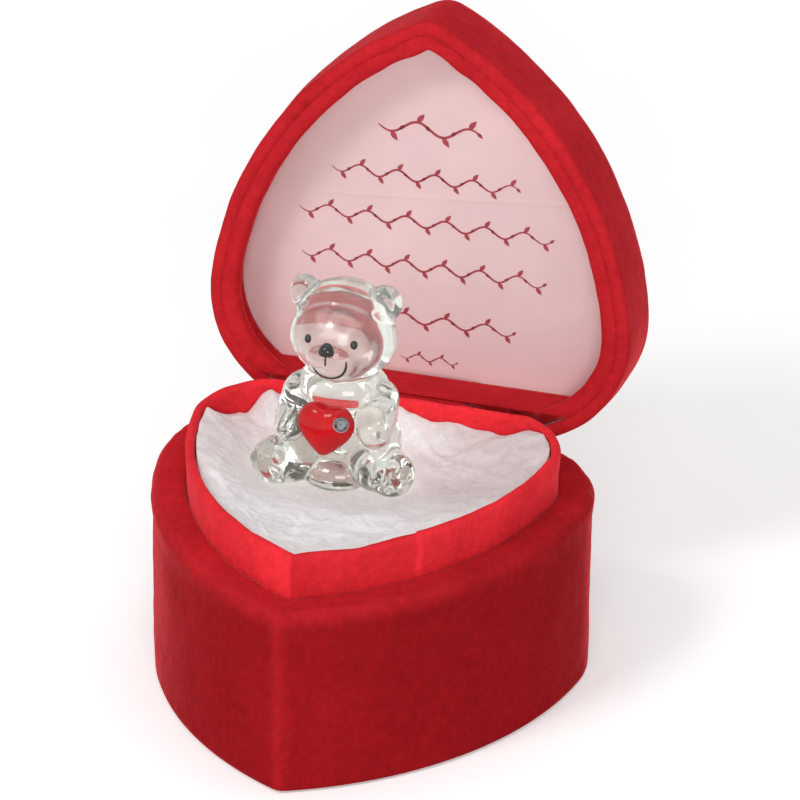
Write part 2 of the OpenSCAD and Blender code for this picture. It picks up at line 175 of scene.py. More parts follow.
class StageSettings(bpy.types.PropertyGroup):
    """Camera, lamps and backdrop."""

    backdrop: colour("Backdrop", "White of the floor and the backdrop", (1.0, 1.0, 1.0))
    fill: strength("Fill", "Strength of the even light from all round", 0.42)
    key: power("Key", "Power of the lamp high on the left", 5.0)
    front: power("Front", "Power of the lamp by the camera", 8.0)
    top: power("Top", "Power of the lamp overhead", 1.6)
    floor_glow: strength("Floor glow", "Lift of the floor towards white", 0.26)
    far_glow: strength("Far floor glow", "Lift of the floor beyond the lamps", 0.6)
    lens: FloatProperty(
        name="Lens", description="Focal length in millimetres", default=292.5, min=20.0, max=400.0,
        subtype="DISTANCE_CAMERA", unit="CAMERA",
    )
    distance: length("Camera distance", "Distance from the camera to its target", 1.32703, high=5.0)
    azimuth: angle("Camera azimuth", "Turn of the camera to the right of the front", 16.907)
    elevation: angle("Camera elevation", "Height of the camera above the horizon", 27.18)
    roll: angle("Camera roll", "Turn of the camera about its own axis", 0.533)
    target: FloatVectorProperty(
        name="Camera target", description="Point that the camera looks at", size=3,
        default=(1.484 * MM, 12.254 * MM, 50.8 * MM), subtype="TRANSLATION", unit="LENGTH",
    )


# Outlines, lofts and pieces

def arc(centre, radius, start, end, count=48):
    """Points on an arc between two angles in radians."""
    turn = np.linspace(start, end, count)
    return np.column_stack((centre[0] + radius * np.cos(turn), centre[1] + radius * np.sin(turn)))


def heart_half(sizes, inset, tip_radius, back):
    """Right half of the case's outline from its tip, drawn in by inset. back is a straight back's depth."""
    lobe_x = sizes.width / 2 - sizes.lobe_radius
    reach = sizes.side_radius - sizes.lobe_radius
    side = (lobe_x - reach * math.cos(sizes.side_lean), reach * math.sin(sizes.side_lean))
    tip = max(tip_radius - inset, FOLD_RADIUS)
    tip_y = side[1] - math.sqrt((sizes.side_radius - inset - tip) ** 2 - side[0] ** 2)
    turn = math.atan2(tip_y - side[1], -side[0])
    strokes = [
        arc((0, tip_y), tip, -math.pi / 2, turn),
        arc(side, sizes.side_radius - inset, turn, -sizes.side_lean),
    ]
    lobe = sizes.lobe_radius - inset
    if back is not None:
        strokes += [arc((lobe_x, 0), lobe, -sizes.side_lean, math.asin(back / lobe)), [(0, back)]]
        return np.vstack(strokes)
    cleft_sum = sizes.cleft_lobe_radius + sizes.cleft_fillet
    cleft_turn = math.acos((cleft_sum - sizes.cleft_depth) / cleft_sum)
    lobe_c = (lobe_x, sizes.lobe_radius - sizes.cleft_lobe_radius)
    fillet_c = (lobe_x - cleft_sum * math.sin(cleft_turn), lobe_c[1] + cleft_sum * math.cos(cleft_turn))
    strokes += [
        arc((lobe_x, 0), lobe, -sizes.side_lean, math.pi / 2),
        arc(lobe_c, sizes.cleft_lobe_radius - inset, math.pi / 2, math.pi / 2 + cleft_turn),
        arc(fillet_c, sizes.cleft_fillet + inset, cleft_turn - math.pi / 2, -math.pi / 2),
        [(0, sizes.lobe_radius - sizes.cleft_depth - inset)],
    ]
    return np.vstack(strokes)


def outline(sizes, inset, tip_radius, back=None, count=RING_POINTS):
    """Evenly spaced closed outline, counted from the tip over the right side."""
    half = heart_half(sizes, inset, tip_radius, back)
    along = np.concatenate(([0], np.cumsum(np.linalg.norm(np.diff(half, axis=0), axis=1))))
    even = np.linspace(0, along[-1], count // 2 + 1)
    right = np.column_stack([np.interp(even, along, half[:, i]) for i in (0, 1)])
    return np.vstack((right, right[-2:0:-1] * (-1, 1)))


def collar_outline(sizes, inset, tip_radius, count=RING_POINTS):
    """Outline with the collar's straight back."""
    return outline(sizes, inset, tip_radius, sizes.lobe_radius - inset - sizes.collar_back, count)


def lifted(points, z):
    """A flat outline at a height."""
    return np.column_stack((points, np.full(len(points), z)))


def rounded(inset, height, radius, turns):
    """Inset and height of rows round a soft edge, from its side at an inset to its top at a height."""
    return [
        (inset + radius * (1 - math.cos(turn)), height - radius * (1 - math.sin(turn))) for turn in turns
    ]


def loft(rings, closed=False, caps=(False, False)):
    """Points and faces of a band through rings, closed on itself or capped with a fan at either end."""
    rings = np.asarray(rings)
    rows, count = rings.shape[:2]
    points = rings.reshape(-1, 3)
    faces = []
    for row in range(rows if closed else rows - 1):
        here, there = row * count, (row + 1) % rows * count
        for k in range(count):
            k2 = (k + 1) % count
            faces.append((here + k, here + k2, there + k2, there + k))
    for at_end, wanted in enumerate(caps):
        if not wanted:
            continue
        ring = (rows - 1) * count if at_end else 0
        centre = len(points)
        points = np.vstack((points, rings[-1 if at_end else 0].mean(axis=0)))
        for k in range(count):
            pair = (ring + k, ring + (k + 1) % count)
            faces.append((*pair, centre) if at_end else (pair[1], pair[0], centre))
    return points, faces


def grid_normals(rings):
    """Unit normals of a grid of rings, outward where rows rise and points run counter-clockwise."""
    across = np.roll(rings, -1, axis=1) - np.roll(rings, 1, axis=1)
    along = np.gradient(rings, axis=0)
    normals = np.cross(across, along)
    return normals / np.maximum(np.linalg.norm(normals, axis=2, keepdims=True), 1e-12)


def soft_noise(points, size, seed=0.0):
    """Smooth noise between about -1 and 1 at each point, with features of the given size."""
    flat = points.reshape(-1, 3) / size
    values = [noise.noise((x + seed, y - seed, z + 2 * seed)) for x, y, z in flat]
    return np.array(values).reshape(points.shape[:-1])


def uneven(points, layers, start=0):
    """Start plus layers of soft noise, each a height and a width in millimetres and a seed."""
    for height, width, seed in layers:
        start = start + height * MM * soft_noise(points, width * MM, seed)
    return start


def bump(values, centre, width):
    """A rounded hump of height 1."""
    return np.exp(-((values - centre) / width) ** 2)


def rises(values, start, reach):
    """0 up to a start, then a smooth rise to 1 over a reach."""
    t = np.clip((values - start) / reach, 0, 1)
    return t * t * (3 - 2 * t)


def axes(rings):
    """The x, y and z of rings of points."""
    return np.moveaxis(rings, -1, 0)


def capped(values, limit, soft):
    """Values that ease off below an upper limit instead of passing it."""
    return limit - soft * np.logaddexp(0, (limit - values) / soft)


def floored(values, limit, soft):
    """Values that ease off above a lower limit instead of passing it."""
    return -capped(-values, -limit, soft)


def opened(points, sizes):
    """Points of the closed lid where the lid stands open."""
    low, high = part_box("hinge_pin")
    y, z = (low.y + high.y) / 2, (low.z + high.z) / 2
    cos, sin = math.cos(-sizes.lid_open), math.sin(-sizes.lid_open)
    dy, dz = points[..., 1] - y, points[..., 2] - z
    return np.stack((points[..., 0], y + dy * cos - dz * sin, z + dy * sin + dz * cos), axis=-1)


def new_piece(name, points, faces, material, body, slot, *nodes):
    """A smooth mesh that rides on a body and stands for CAD nodes."""
    mesh = bpy.data.meshes.new(name)
    mesh.from_pydata([tuple(p) for p in points], [], faces)
    mesh.validate()
    return dressed(bpy.data.objects.new(name, mesh), material, body, slot, *nodes)


def dressed(piece, material, body, slot, *nodes):
    """Links a mesh piece and gives it its material, body and nodes; its slot is not used."""
    if piece.name not in bpy.context.scene.collection.objects:
        bpy.context.scene.collection.objects.link(piece)
    shell = bmesh.new()
    shell.from_mesh(piece.data)
    bmesh.ops.recalc_face_normals(shell, faces=shell.faces)
    shell.to_mesh(piece.data)
    shell.free()
    piece.data.shade_smooth()
    piece.data.materials.clear()
    piece.data.materials.append(material)
    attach(piece, body)
    if nodes:
        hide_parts(*nodes)
    return piece


def paint_share(piece, values):
    """Keeps on each point how much of its finish's second colour it shows, from 0 to 1."""
    values = np.asarray(values, dtype=float).ravel()
    values = np.append(values, np.full(len(piece.data.vertices) - len(values), values[-1]))
    layer = piece.data.attributes.new(SHARE, "FLOAT", "POINT")
    layer.data.foreach_set("value", np.clip(values, 0, 1))
    return piece


# Materials

class Finish:
    """A node material under construction, with short names for the nodes it needs."""

    def __init__(self, name, base, roughness, **sockets):
        self.material = bpy.data.materials.new(name)
        self.material.use_nodes = True
        self.tree = self.material.node_tree
        self.shader = self.tree.nodes["Principled BSDF"]
        self.set(self.shader, **{"Base Color": (*base, 1.0), "Roughness": roughness})
        self.set(self.shader, **{key.replace("_", " "): value for key, value in sockets.items()})
        self.place = self.tree.nodes.new("ShaderNodeTexCoord").outputs["Object"]

    def set(self, node, **values):
        """Sets a node's sockets by name."""
        for key, value in values.items():
            node.inputs[key].default_value = value

    def link(self, output, node, socket):
        """Links an output to a node's socket."""
        self.tree.links.new(output, node.inputs[socket])

    def stretched(self, scale):
        """The object's coordinates, scaled along each axis."""
        node = self.tree.nodes.new("ShaderNodeMapping")
        node.inputs["Scale"].default_value = scale
        self.link(self.place, node, "Vector")
        return node.outputs["Vector"]

    def noise(self, scale, detail=3.0, roughness=0.6, stretch=(1, 1, 1)):
        """Noise with scale features to a metre."""
        node = self.tree.nodes.new("ShaderNodeTexNoise")
        self.set(node, Scale=scale, Detail=detail, Roughness=roughness)
        self.link(self.stretched(stretch), node, "Vector")
        return node.outputs["Fac"]

    def weave(self, scale, stretch=(1, 1, 1), distortion=0.4):
        """Bands of thread."""
        node = self.tree.nodes.new("ShaderNodeTexWave")
        self.set(node, Scale=scale, Distortion=distortion)
        self.link(self.stretched(stretch), node, "Vector")
        return node.outputs["Fac"]

    def ramp(self, value, *stops):
        """Colour of a value between stops of place and colour."""
        node = self.tree.nodes.new("ShaderNodeValToRGB")
        stops_in = node.color_ramp.elements
        while len(stops_in) < len(stops):
            stops_in.new(0.5)
        for element, (place, tint) in zip(stops_in, stops):
            element.position = place
            element.color = (*tint, 1.0)
        self.link(value, node, "Fac")
        return node.outputs["Color"]

    def shaded(self, value, shade, *stops):
        """One colour made darker or lighter by a value, with stops of place and factor."""
        shade = np.array(shade)
        return self.ramp(value, *((place, tuple(np.minimum(shade * factor, 1))) for place, factor in stops))

    def between(self, value, low, high, start=0.0, end=1.0):
        """A value from start to end, brought to low to high."""
        node = self.tree.nodes.new("ShaderNodeMapRange")
        self.set(node, **{"From Min": start, "From Max": end, "To Min": low, "To Max": high})
        self.link(value, node, "Value")
        return node.outputs["Result"]

    def mixed(self, first, second, part):
        """Two values mixed by a fixed part of the second."""
        node = self.tree.nodes.new("ShaderNodeMix")
        node.data_type = "FLOAT"
        node.inputs[0].default_value = part
        self.tree.links.new(first, node.inputs[2])
        self.tree.links.new(second, node.inputs[3])
        return node.outputs[0]

    def blended(self, first, second, part):
        """Two colours mixed by a value."""
        node = self.tree.nodes.new("ShaderNodeMix")
        node.data_type = "RGBA"
        for output, socket in ((part, 0), (first, 6), (second, 7)):
            self.tree.links.new(output, node.inputs[socket])
        return node.outputs[2]

    def painted(self, name):
        """A value kept on the mesh's points."""
        node = self.tree.nodes.new("ShaderNodeAttribute")
        node.attribute_name = name
        return node.outputs["Fac"]

    def tint(self, value, shade, *stops):
        """Colours the surface with one colour, darker or lighter by a value."""
        self.link(self.shaded(value, shade, *stops), self.shader, "Base Color")

    def tint_by_share(self, value, shades, *stops):
        """Colours the surface between two colours, by the share on its points."""
        pair = [self.shaded(value, shade, *stops) for shade in shades]
        self.link(self.blended(*pair, self.painted(SHARE)), self.shader, "Base Color")

    def gloss(self, value, low, high):
        """Varies the roughness from low to high by a value."""
        self.link(self.between(value, low, high), self.shader, "Roughness")

    def relief(self, value, strength, depth):
        """Adds a bump to those that are there."""
        node = self.tree.nodes.new("ShaderNodeBump")
        self.set(node, Strength=strength, Distance=depth)
        self.link(value, node, "Height")
        before = self.shader.inputs["Normal"].links
        if before:
            self.link(before[0].from_socket, node, "Normal")
        self.link(node.outputs["Normal"], self.shader, "Normal")


def velvet_finish(colours):
    """Short red pile: dark into the nap, lighter where it is brushed and where light from above is painted
    in, with a sheen at a slant.
    """
    finish = Finish(
        "red velvet", colours.velvet, 0.9, Sheen_Weight=1.0, Sheen_Roughness=0.26,
        Sheen_Tint=(*colours.sheen, 1.0), Specular_IOR_Level=0.02,
    )
    patches = finish.noise(60, detail=4, roughness=0.6)
    grain = finish.noise(600, detail=4, roughness=0.7)
    mottle = finish.mixed(patches, grain, 0.6)
    shades = colours.velvet, colours.velvet_brushed_and_lit
    finish.tint_by_share(mottle, shades, (0.36, 0.84), (0.5, 1), (0.66, 1.2))
    finish.relief(grain, 0.45, 0.22 * MM)
    finish.relief(finish.noise(2600, detail=2), 0.7, 0.14 * MM)
    return finish.material


def satin_finish(colours):
    """Pale pink satin with a fine weave and soft gloss."""
    finish = Finish(
        "pink satin", colours.satin, 0.42, Sheen_Weight=0.2, Sheen_Roughness=0.4,
        Specular_IOR_Level=0.4, Anisotropic=0.4,
    )
    finish.tint(finish.noise(38, detail=3), colours.satin, (0.3, 0.94), (0.7, 1.06))
    thread = finish.weave(1900, stretch=(1, 0.05, 0.05))
    finish.gloss(thread, 0.34, 0.5)
    finish.relief(thread, 0.12, 0.03 * MM)
    finish.relief(finish.noise(160, detail=3), 0.18, 0.1 * MM)
    return finish.material


def ink_finish(colours):
    """Dark red print that lies flat on the satin."""
    finish = Finish("ornament ink", colours.ornament, 0.55, Specular_IOR_Level=0.3)
    finish.tint(finish.noise(900), colours.ornament, (0.3, 0.85), (0.7, 1.2))
    return finish.material


def sheet_finish(colours):
    """Sheer white bedding with loose fibres that glow where light passes through."""
    finish = Finish(
        "white sheer bedding", colours.sheet, 0.8, Sheen_Weight=0.35, Sheen_Roughness=0.5,
        Specular_IOR_Level=0.2, Subsurface_Weight=0.25, Subsurface_Scale=1.2 * MM,
        Subsurface_Radius=(1.0, 0.9, 0.9),
    )
    cloudy = finish.mixed(finish.noise(120, detail=5), finish.noise(950, detail=4, roughness=0.7), 0.45)
    # Painted shade: the sheet goes from pink-grey shade to white by the share on its points
    finish.tint_by_share(cloudy, (colours.sheet_shaded, colours.sheet), (0.35, 0.92), (0.6, 1.1))
    finish.relief(finish.noise(260, detail=6, roughness=0.75), 0.6, 0.6 * MM)
    finish.relief(finish.noise(1300, detail=4, stretch=(1, 0.25, 1)), 0.6, 0.2 * MM)
    finish.relief(finish.noise(1300, detail=4, stretch=(0.25, 1, 1)), 0.5, 0.2 * MM)
    return finish.material


def wadding_finish(colours):
    """Fluffy white wadding."""
    finish = Finish("wadding", colours.wadding, 0.95, Sheen_Weight=0.5, Specular_IOR_Level=0.1)
    finish.tint(finish.noise(200, detail=5), colours.wadding, (0.3, 0.86), (0.7, 1))
    finish.relief(finish.noise(700, detail=5, roughness=0.75), 0.8, 0.5 * MM)
    return finish.material


# Heights over the bear's foot: the top of its thick body, its neck and its chin
GLASS_THICK, GLASS_NECK, GLASS_CHIN = 15 * MM, 21 * MM, 26 * MM
BODY_ROUGHNESS, HEAD_ROUGHNESS = 0.03, 0.11


def glass_finish(colours):
    """Clear moulded glass with a faint ripple from its mould, greyer low down and softer in the head."""
    finish = Finish(
        "clear glass", colours.glass, BODY_ROUGHNESS, IOR=1.43, Transmission_Weight=0.94,
        Specular_IOR_Level=0.5, Coat_Weight=0.15, Coat_Roughness=0.02,
    )
    split = finish.tree.nodes.new("ShaderNodeSeparateXYZ")
    finish.link(finish.place, split, "Vector")
    height = split.outputs["Z"]
    thick = finish.between(height, 0.0, 1.0, BEAR_FOOT, BEAR_FOOT + GLASS_THICK)
    clearer = finish.ramp(thick, (0.1, tuple(colours.glass_thick)), (0.9, tuple(colours.glass)))
    finish.link(clearer, finish.shader, "Base Color")
    softer = finish.between(
        height, BODY_ROUGHNESS, HEAD_ROUGHNESS, BEAR_FOOT + GLASS_NECK, BEAR_FOOT + GLASS_CHIN
    )
    finish.link(softer, finish.shader, "Roughness")
    finish.relief(finish.noise(150, detail=1.5), 0.08, 0.6 * MM)
    return finish.material


def enamel_finish(name, base, ripple, coat):
    """Glossy enamel, a little uneven where it was brushed on."""
    finish = Finish(name, base, 0.2, Coat_Weight=coat, Coat_Roughness=0.03, Specular_IOR_Level=0.15)
    finish.tint(finish.noise(260, detail=4), base, (0.3, 0.85), (0.7, 1.18))
    finish.relief(finish.noise(420, detail=3), ripple, 0.2 * MM)
    return finish.material


def stone_finish(colours):
    """Cut stone on a grey foil, with facets painted lighter and darker in place of their catching the light
    one by one.
    """
    finish = Finish("cut stone", colours.stone, 0.05, IOR=1.7, Metallic=0.75, Coat_Weight=0.6)
    # Painted reflections: cells lighter and darker in place of facets catching the light
    facets = finish.tree.nodes.new("ShaderNodeTexVoronoi")
    finish.set(facets, Scale=1500)
    finish.link(finish.place, facets, "Vector")
    finish.tint(facets.outputs["Distance"], colours.stone, (0.1, 0.25), (0.55, 1))
    finish.gloss(finish.noise(900), 0.03, 0.12)
    return finish.material


def metal_finish(name, base, rough, scratch):
    """Worn metal with fine scratches and duller patches."""
    finish = Finish(name, base, rough, Metallic=1.0)
    finish.tint(finish.noise(300, detail=5), base, (0.3, 0.72), (0.65, 1.08))
    finish.gloss(finish.noise(900, detail=4, stretch=(1, 6, 1)), rough * 0.7, rough * 1.6)
    finish.relief(finish.noise(2200, detail=3, stretch=(0.2, 3, 1)), scratch, 0.04 * MM)
    return finish.material


def dull_finish(name, base, rough, grain, depth, sheen=0.0):
    """Matt grained material: felt, board, foam or moulded plastic."""
    finish = Finish(name, base, rough, Specular_IOR_Level=0.3, Sheen_Weight=sheen)
    finish.tint(finish.noise(grain * 0.3, detail=4), base, (0.3, 0.8), (0.7, 1.15))
    finish.gloss(finish.noise(grain), rough * 0.85, min(1.0, rough * 1.1))
    finish.relief(finish.noise(grain, detail=4), 0.4, depth)
    return finish.material


# Case base

# Hem under the foot: its width, and the heights of its two sides
HEM, HEM_LOW, HEM_HIGH = 1.4 * MM, 0.33 * MM, 1 * MM
# Ledge: how far it runs under the collar, how far it crowns, and how far it dips at the collar
LEDGE_UNDER, LEDGE_CROWN, LEDGE_DIP = 0.15 * MM, 0.15 * MM, 0.35 * MM


def base_velvet_rows(sizes):
    """Inset, height and share of straight back for each row of the base's velvet, outside then inside."""
    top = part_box("base_velvet")[1].z
    edge, foot = sizes.base_edge, sizes.collar_inset - LEDGE_UNDER
    rows = [(HEM, HEM_LOW, 0), (0.5 * MM, HEM_LOW, 0), (0.12 * MM, 0.6 * MM, 0), (0, 1.1 * MM, 0)]
    rows += [(0, z, 0) for z in np.linspace(1.8 * MM, top - edge, 30)]
    rows += [(*row, 0) for row in rounded(0, top, edge, np.linspace(0, math.pi / 2, 11)[1:])]
    for t in np.linspace(0, 1, 11)[1:]:
        sag = LEDGE_CROWN * math.sin(math.pi * t) - LEDGE_DIP * t ** 6
        rows.append((edge + (foot - edge) * t, top + sag, t))
    lining = sizes.velvet
    rows += [(foot, top - lining, 1), (lining, top - lining, 0), (lining, HEM_HIGH, 0), (HEM, HEM_HIGH, 0)]
    return rows


def rings_from(sizes, rows, tip_radius):
    """Rings for rows of inset, height and share of straight back."""
    rings = []
    for inset, z, straight in rows:
        ring = outline(sizes, inset, tip_radius)
        if straight:
            ring = ring * (1 - straight) + collar_outline(sizes, inset, tip_radius) * straight
        rings.append(lifted(ring, z))
    return np.array(rings)


# Rows of the base's velvet that lie inside, and the row where its ledge begins
BASE_LINING_ROWS, LEDGE_ROW = 4, 44
BASE_SLACK = ((0.22, 13, 3.0), (0.10, 4, 9.0))
# How far tucks, the fold at the tip, the top of the wall and the ledge's edge stand out
TUCK, TIP_FOLD, WALL_TOP, LEDGE_ROLL = 0.30 * MM, 0.45 * MM, 0.40 * MM, 0.30 * MM
# Depth before which the tip begins, depth behind which tucks begin, and reach over which these grow
TIP_DEPTH, TUCK_DEPTH, TUCK_REACH = -30 * MM, -22 * MM, 30 * MM
# Height of the turn from wall to ledge in shape and in brushed nap with painted light, and rows over which
# the ledge's roll fades
LEDGE_TURN, NAP_AND_LIGHT_TURN, ROLL_FADE = 2.5 * MM, 4.5 * MM, 8
# Most that the ledge may rise under the closed lid
LEDGE_RISE, LEDGE_SOFT = 0.08 * MM, 0.06 * MM
# Brushed nap of the wall; brushed nap and painted light on the up-facing ledge, with painted shade darker
# to the right; and a painted highlight down the fold at the tip
WALL_NAP, LEDGE_NAP_AND_LIGHT, LEDGE_SHADE_ACROSS, FOLD_HIGHLIGHT = 0.03, 0.30, 0.12, 0.16


def base_velvet(sizes, material):
    """Velvet over the base: a fold at the tip, soft walls and a rolled ledge with tucks at the back."""
    rings = rings_from(sizes, base_velvet_rows(sizes), sizes.base_tip)
    skin = rings[:-BASE_LINING_ROWS]
    x, y, z = axes(skin)
    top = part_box("base_velvet")[1].z
    slack = uneven(skin, BASE_SLACK)
    ledge = rises(z, top - LEDGE_TURN, LEDGE_TURN)
    tucks = soft_noise(skin * (1, 1, 0.2), 2.6 * MM, 5.0)
    slack += TUCK * ledge * tucks * rises(y, TUCK_DEPTH, TUCK_REACH)
    fold = bump(x, 0, 0.9 * MM) * (y < TIP_DEPTH) * (1 - ledge * 0.7)
    slack += TIP_FOLD * fold
    slack += WALL_TOP * bump(z, top - 2.2 * MM, 2.6 * MM) * (1 - ledge)
    slack += LEDGE_ROLL * ledge * (1 - rises(np.arange(len(skin)), LEDGE_ROW, ROLL_FADE))[:, None]
    slack[:3] = 0
    rings[:-BASE_LINING_ROWS] = skin + grid_normals(skin) * slack[..., None]
    rings[..., 2] = capped(rings[..., 2], top + LEDGE_RISE, LEDGE_SOFT)
    points, faces = loft(rings, closed=True)
    piece = new_piece(
        "base_velvet_cover", points, faces, material, "case_base", "red_velvet", "base_velvet"
    )
    x, y, z = axes(rings)
    # Share of the lighter velvet: brushed nap and painted light from above on the up-facing ledge, painted
    # shade darker to the right, and a painted highlight down the fold at the tip
    flat = rises(z, top - NAP_AND_LIGHT_TURN, NAP_AND_LIGHT_TURN)
    nap = WALL_NAP + flat * (LEDGE_NAP_AND_LIGHT - LEDGE_SHADE_ACROSS * x / (sizes.width / 2))
    nap = nap + FOLD_HIGHLIGHT * (1 - flat) * bump(x, 0, 1.6 * MM) * (y < TIP_DEPTH)
    return paint_share(piece, nap + (0.03 + 0.05 * flat) * soft_noise(rings, 9 * MM, 2.0))


def along_ring(ring):
    """Signed distance of each point of a ring from its tip, positive over the right side."""
    steps = np.linalg.norm(np.diff(ring, axis=0, append=ring[:1]), axis=1)
    run = np.concatenate(([0], np.cumsum(steps)[:-1]))
    total = steps.sum()
    return np.where(run > total / 2, run - total, run)


# Heights of the collar's hem outside and of its straight wall's foot inside, and thickness of its velvet
COLLAR_HEM, COLLAR_FOOT, COLLAR_LINING = 38 * MM, 36 * MM, 0.4 * MM
# Rows of the collar's velvet that lie inside it, and rows on its outer face and top
COLLAR_LINING_ROWS, COLLAR_FACE_ROWS = 5, 20
COLLAR_SWELL = 0.28 * MM
COLLAR_SLACK = ((0.16, 7, 2.0), (0.08, 2.4, 4.0))
COLLAR_WAVE = ((0.35, 9, 8.0),)
# Lapped ends: height in millimetres and reach at the tip, and place, height and reach on the right
TIP_LAP, TIP_LAP_REACH = 0.75, 11 * MM
SIDE_LAP_PLACE, SIDE_LAP, SIDE_LAP_REACH = 27 * MM, 0.50, 10 * MM
# Height where the laps, the swell and the wave of the top begin, and the reach over which each grows
LAP_RISE, SWELL_RISE, WAVE_RISE = (39 * MM, 3 * MM), (42 * MM, 6 * MM), (41 * MM, 8 * MM)
# Brushed nap left and right of the tip, how far each grows, nap of the cut edge, and mottle
LEFT_NAP, LEFT_MORE, RIGHT_NAP, RIGHT_MORE, CUT_NAP, COLLAR_MOTTLE = 0.86, 0.12, 0.62, 0.26, 0.3, 0.10
# Most that the collar may stand out inside the closed lid, at its straight back and elsewhere
BACK_DEPTH, BACK_ROOM, SIDE_ROOM, ROOM_SOFT = 14 * MM, 0.35 * MM, 0.55 * MM, 0.05 * MM


def collar_velvet(sizes, material):
    """Velvet round the collar, with one raw end lapped at the tip and another lapped on the right."""
    low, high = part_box("collar_velvet")
    outer, thick = sizes.collar_inset, sizes.collar_thickness
    inner = outer + thick
    top, lining, round_top = high.z, COLLAR_LINING, thick / 2
    rows = [(outer, z) for z in np.linspace(COLLAR_HEM, top - round_top, 14)]
    rows += rounded(outer, top, round_top, np.linspace(0, math.pi, 11)[1:-1])
    rows += [(inner, z) for z in np.linspace(top - round_top, COLLAR_FOOT, 12)]
    rows += [(inner, low.z), (inner - lining, low.z), (inner - lining, top - lining)]
    rows += [(outer + lining, top - lining), (outer + lining, COLLAR_HEM)]
    rings = np.array([lifted(collar_outline(sizes, inset, FOLD_RADIUS), z) for inset, z in rows])
    skin = rings[:-COLLAR_LINING_ROWS]
    run = along_ring(skin[0])
    beyond = SIDE_LAP_PLACE - run
    lap = np.where(run <= 0, TIP_LAP * np.exp(run / TIP_LAP_REACH), 0)
    lap = lap + np.where(beyond <= 0, SIDE_LAP * np.exp(beyond / SIDE_LAP_REACH), 0)
    _, y, z = axes(skin)
    outside = rises(z, *LAP_RISE) * (np.arange(len(skin))[:, None] < COLLAR_FACE_ROWS)
    slack = MM * lap[None, :] * outside
    slack += COLLAR_SWELL * outside * rises(z, *SWELL_RISE)
    slack += uneven(skin, COLLAR_SLACK)
    slack = capped(slack, np.where(y > BACK_DEPTH, BACK_ROOM, SIDE_ROOM), ROOM_SOFT)
    slack[-1] = 0
    wave = uneven(np.column_stack((run, 0 * run, 0 * run)), COLLAR_WAVE)
    skin = skin + grid_normals(skin) * slack[..., None]
    skin[..., 2] += wave[None, :] * rises(skin[..., 2], *WAVE_RISE)
    rings[:-COLLAR_LINING_ROWS] = skin
    points, faces = loft(rings, closed=True)
    piece = new_piece(
        "collar_velvet_cover", points, faces, material, "case_base", "red_velvet", "collar_velvet"
    )
    left = LEFT_NAP + LEFT_MORE * bump(run, -7 * MM, 10 * MM)
    right = RIGHT_NAP + RIGHT_MORE * rises(run, 0, 40 * MM)
    cut_edge = CUT_NAP * bump(run, SIDE_LAP_PLACE + 0.3 * MM, 0.6 * MM)
    brushed = np.where(run <= 0, left, right)
    return paint_share(piece, brushed + cut_edge + COLLAR_MOTTLE * soft_noise(rings, 7 * MM, 3.0))


# Lid

def lid_heights(sizes):
    """Heights of the closed lid's rim, top and panel."""
    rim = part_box("base_velvet")[1].z + sizes.lid_gap
    return rim, rim + sizes.lid_height, rim + sizes.panel_recess


def scaled_rings(ring, heights):
    """Rings drawn in to the middle of a ring, one for each share and height."""
    middle = ring.mean(axis=0)
    return [lifted(middle + (ring - middle) * share, z) for share, z in heights]


# Lid: inset of the inside of its wall, radius of its lip, and how far its wall is plump
LID_WALL, LID_LIP, LID_PLUMP = 2.9 * MM, 1.45 * MM, 0.45 * MM
LID_SLACK = ((0.20, 12, 6.0), (0.09, 3.6, 1.0))
# Softness with which the rim lies flat, and brushed nap of the lid and its rim, with their mottle
RIM_SOFT = 0.05 * MM
LID_NAP, RIM_NAP, NAP_MOTTLE = 0.40, 0.36, 0.09


def lid_velvet(sizes, material):
    """Velvet over the lid: a soft lip at the rim, plump walls and a padded crown."""
    rim, top, _ = lid_heights(sizes)
    lining, edge, lip = sizes.velvet, sizes.lid_edge, LID_LIP
    rows = rounded(lining, top - lining, edge - lining, np.linspace(math.pi / 2, 0, 5))
    rows += [(lining, rim + lining), (LID_WALL, rim + lining), (LID_WALL, rim + 0.3 * MM)]
    inside = len(rows)
    for turn in np.linspace(-math.pi / 2, 0, 9):
        rows.append((lip * (1 - math.cos(turn)), rim + lip * (1 + math.sin(turn))))
    rows += [(0, z) for z in np.linspace(rim + lip + 0.8 * MM, top - edge, 12)]
    rows += rounded(0, top, edge, np.linspace(0, math.pi / 2, 13)[1:])
    rings = [lifted(outline(sizes, inset, sizes.lid_tip), z) for inset, z in rows]
    last = outline(sizes, edge, sizes.lid_tip)
    crown = [(s, top + sizes.lid_crown * (1 - s ** 2.4)) for s in np.linspace(1, 0.04, 24)[1:]]
    rings = np.array(rings + scaled_rings(last, crown))
    skin = rings[inside:]
    plump = bump(skin[..., 2], (rim + top) / 2, 9 * MM) * rises(np.arange(len(skin)), 0, 6)[:, None]
    slack = uneven(skin, LID_SLACK, LID_PLUMP * plump)
    slack[:1] *= 0.3
    rings[inside:] = skin + grid_normals(skin) * slack[..., None]
    rings[..., 2] = floored(rings[..., 2], rim, RIM_SOFT)
    points, faces = loft(opened(rings, sizes), caps=(True, True))
    piece = new_piece("lid_velvet_cover", points, faces, material, "lid", "red_velvet", "lid_velvet")
    return paint_share(piece, LID_NAP + NAP_MOTTLE * soft_noise(rings, 10 * MM, 4.0))


# Roll inside the rim: inset of its back, inset and depth where it meets the lip, and height of its root
ROLL_BACK, ROLL_MEETS, ROLL_DIP, ROLL_ROOT = 3.05 * MM, 2.7 * MM, 0.28 * MM, 4 * MM
# Strip from the roll to the panel: insets of its two sides, and their distances from the cleft at the back
STRIP_OUTER, STRIP_INNER = 3.75 * MM, 4.15 * MM
STRIP_BACK_OUTER, STRIP_BACK_INNER = 3.65 * MM, 3.85 * MM
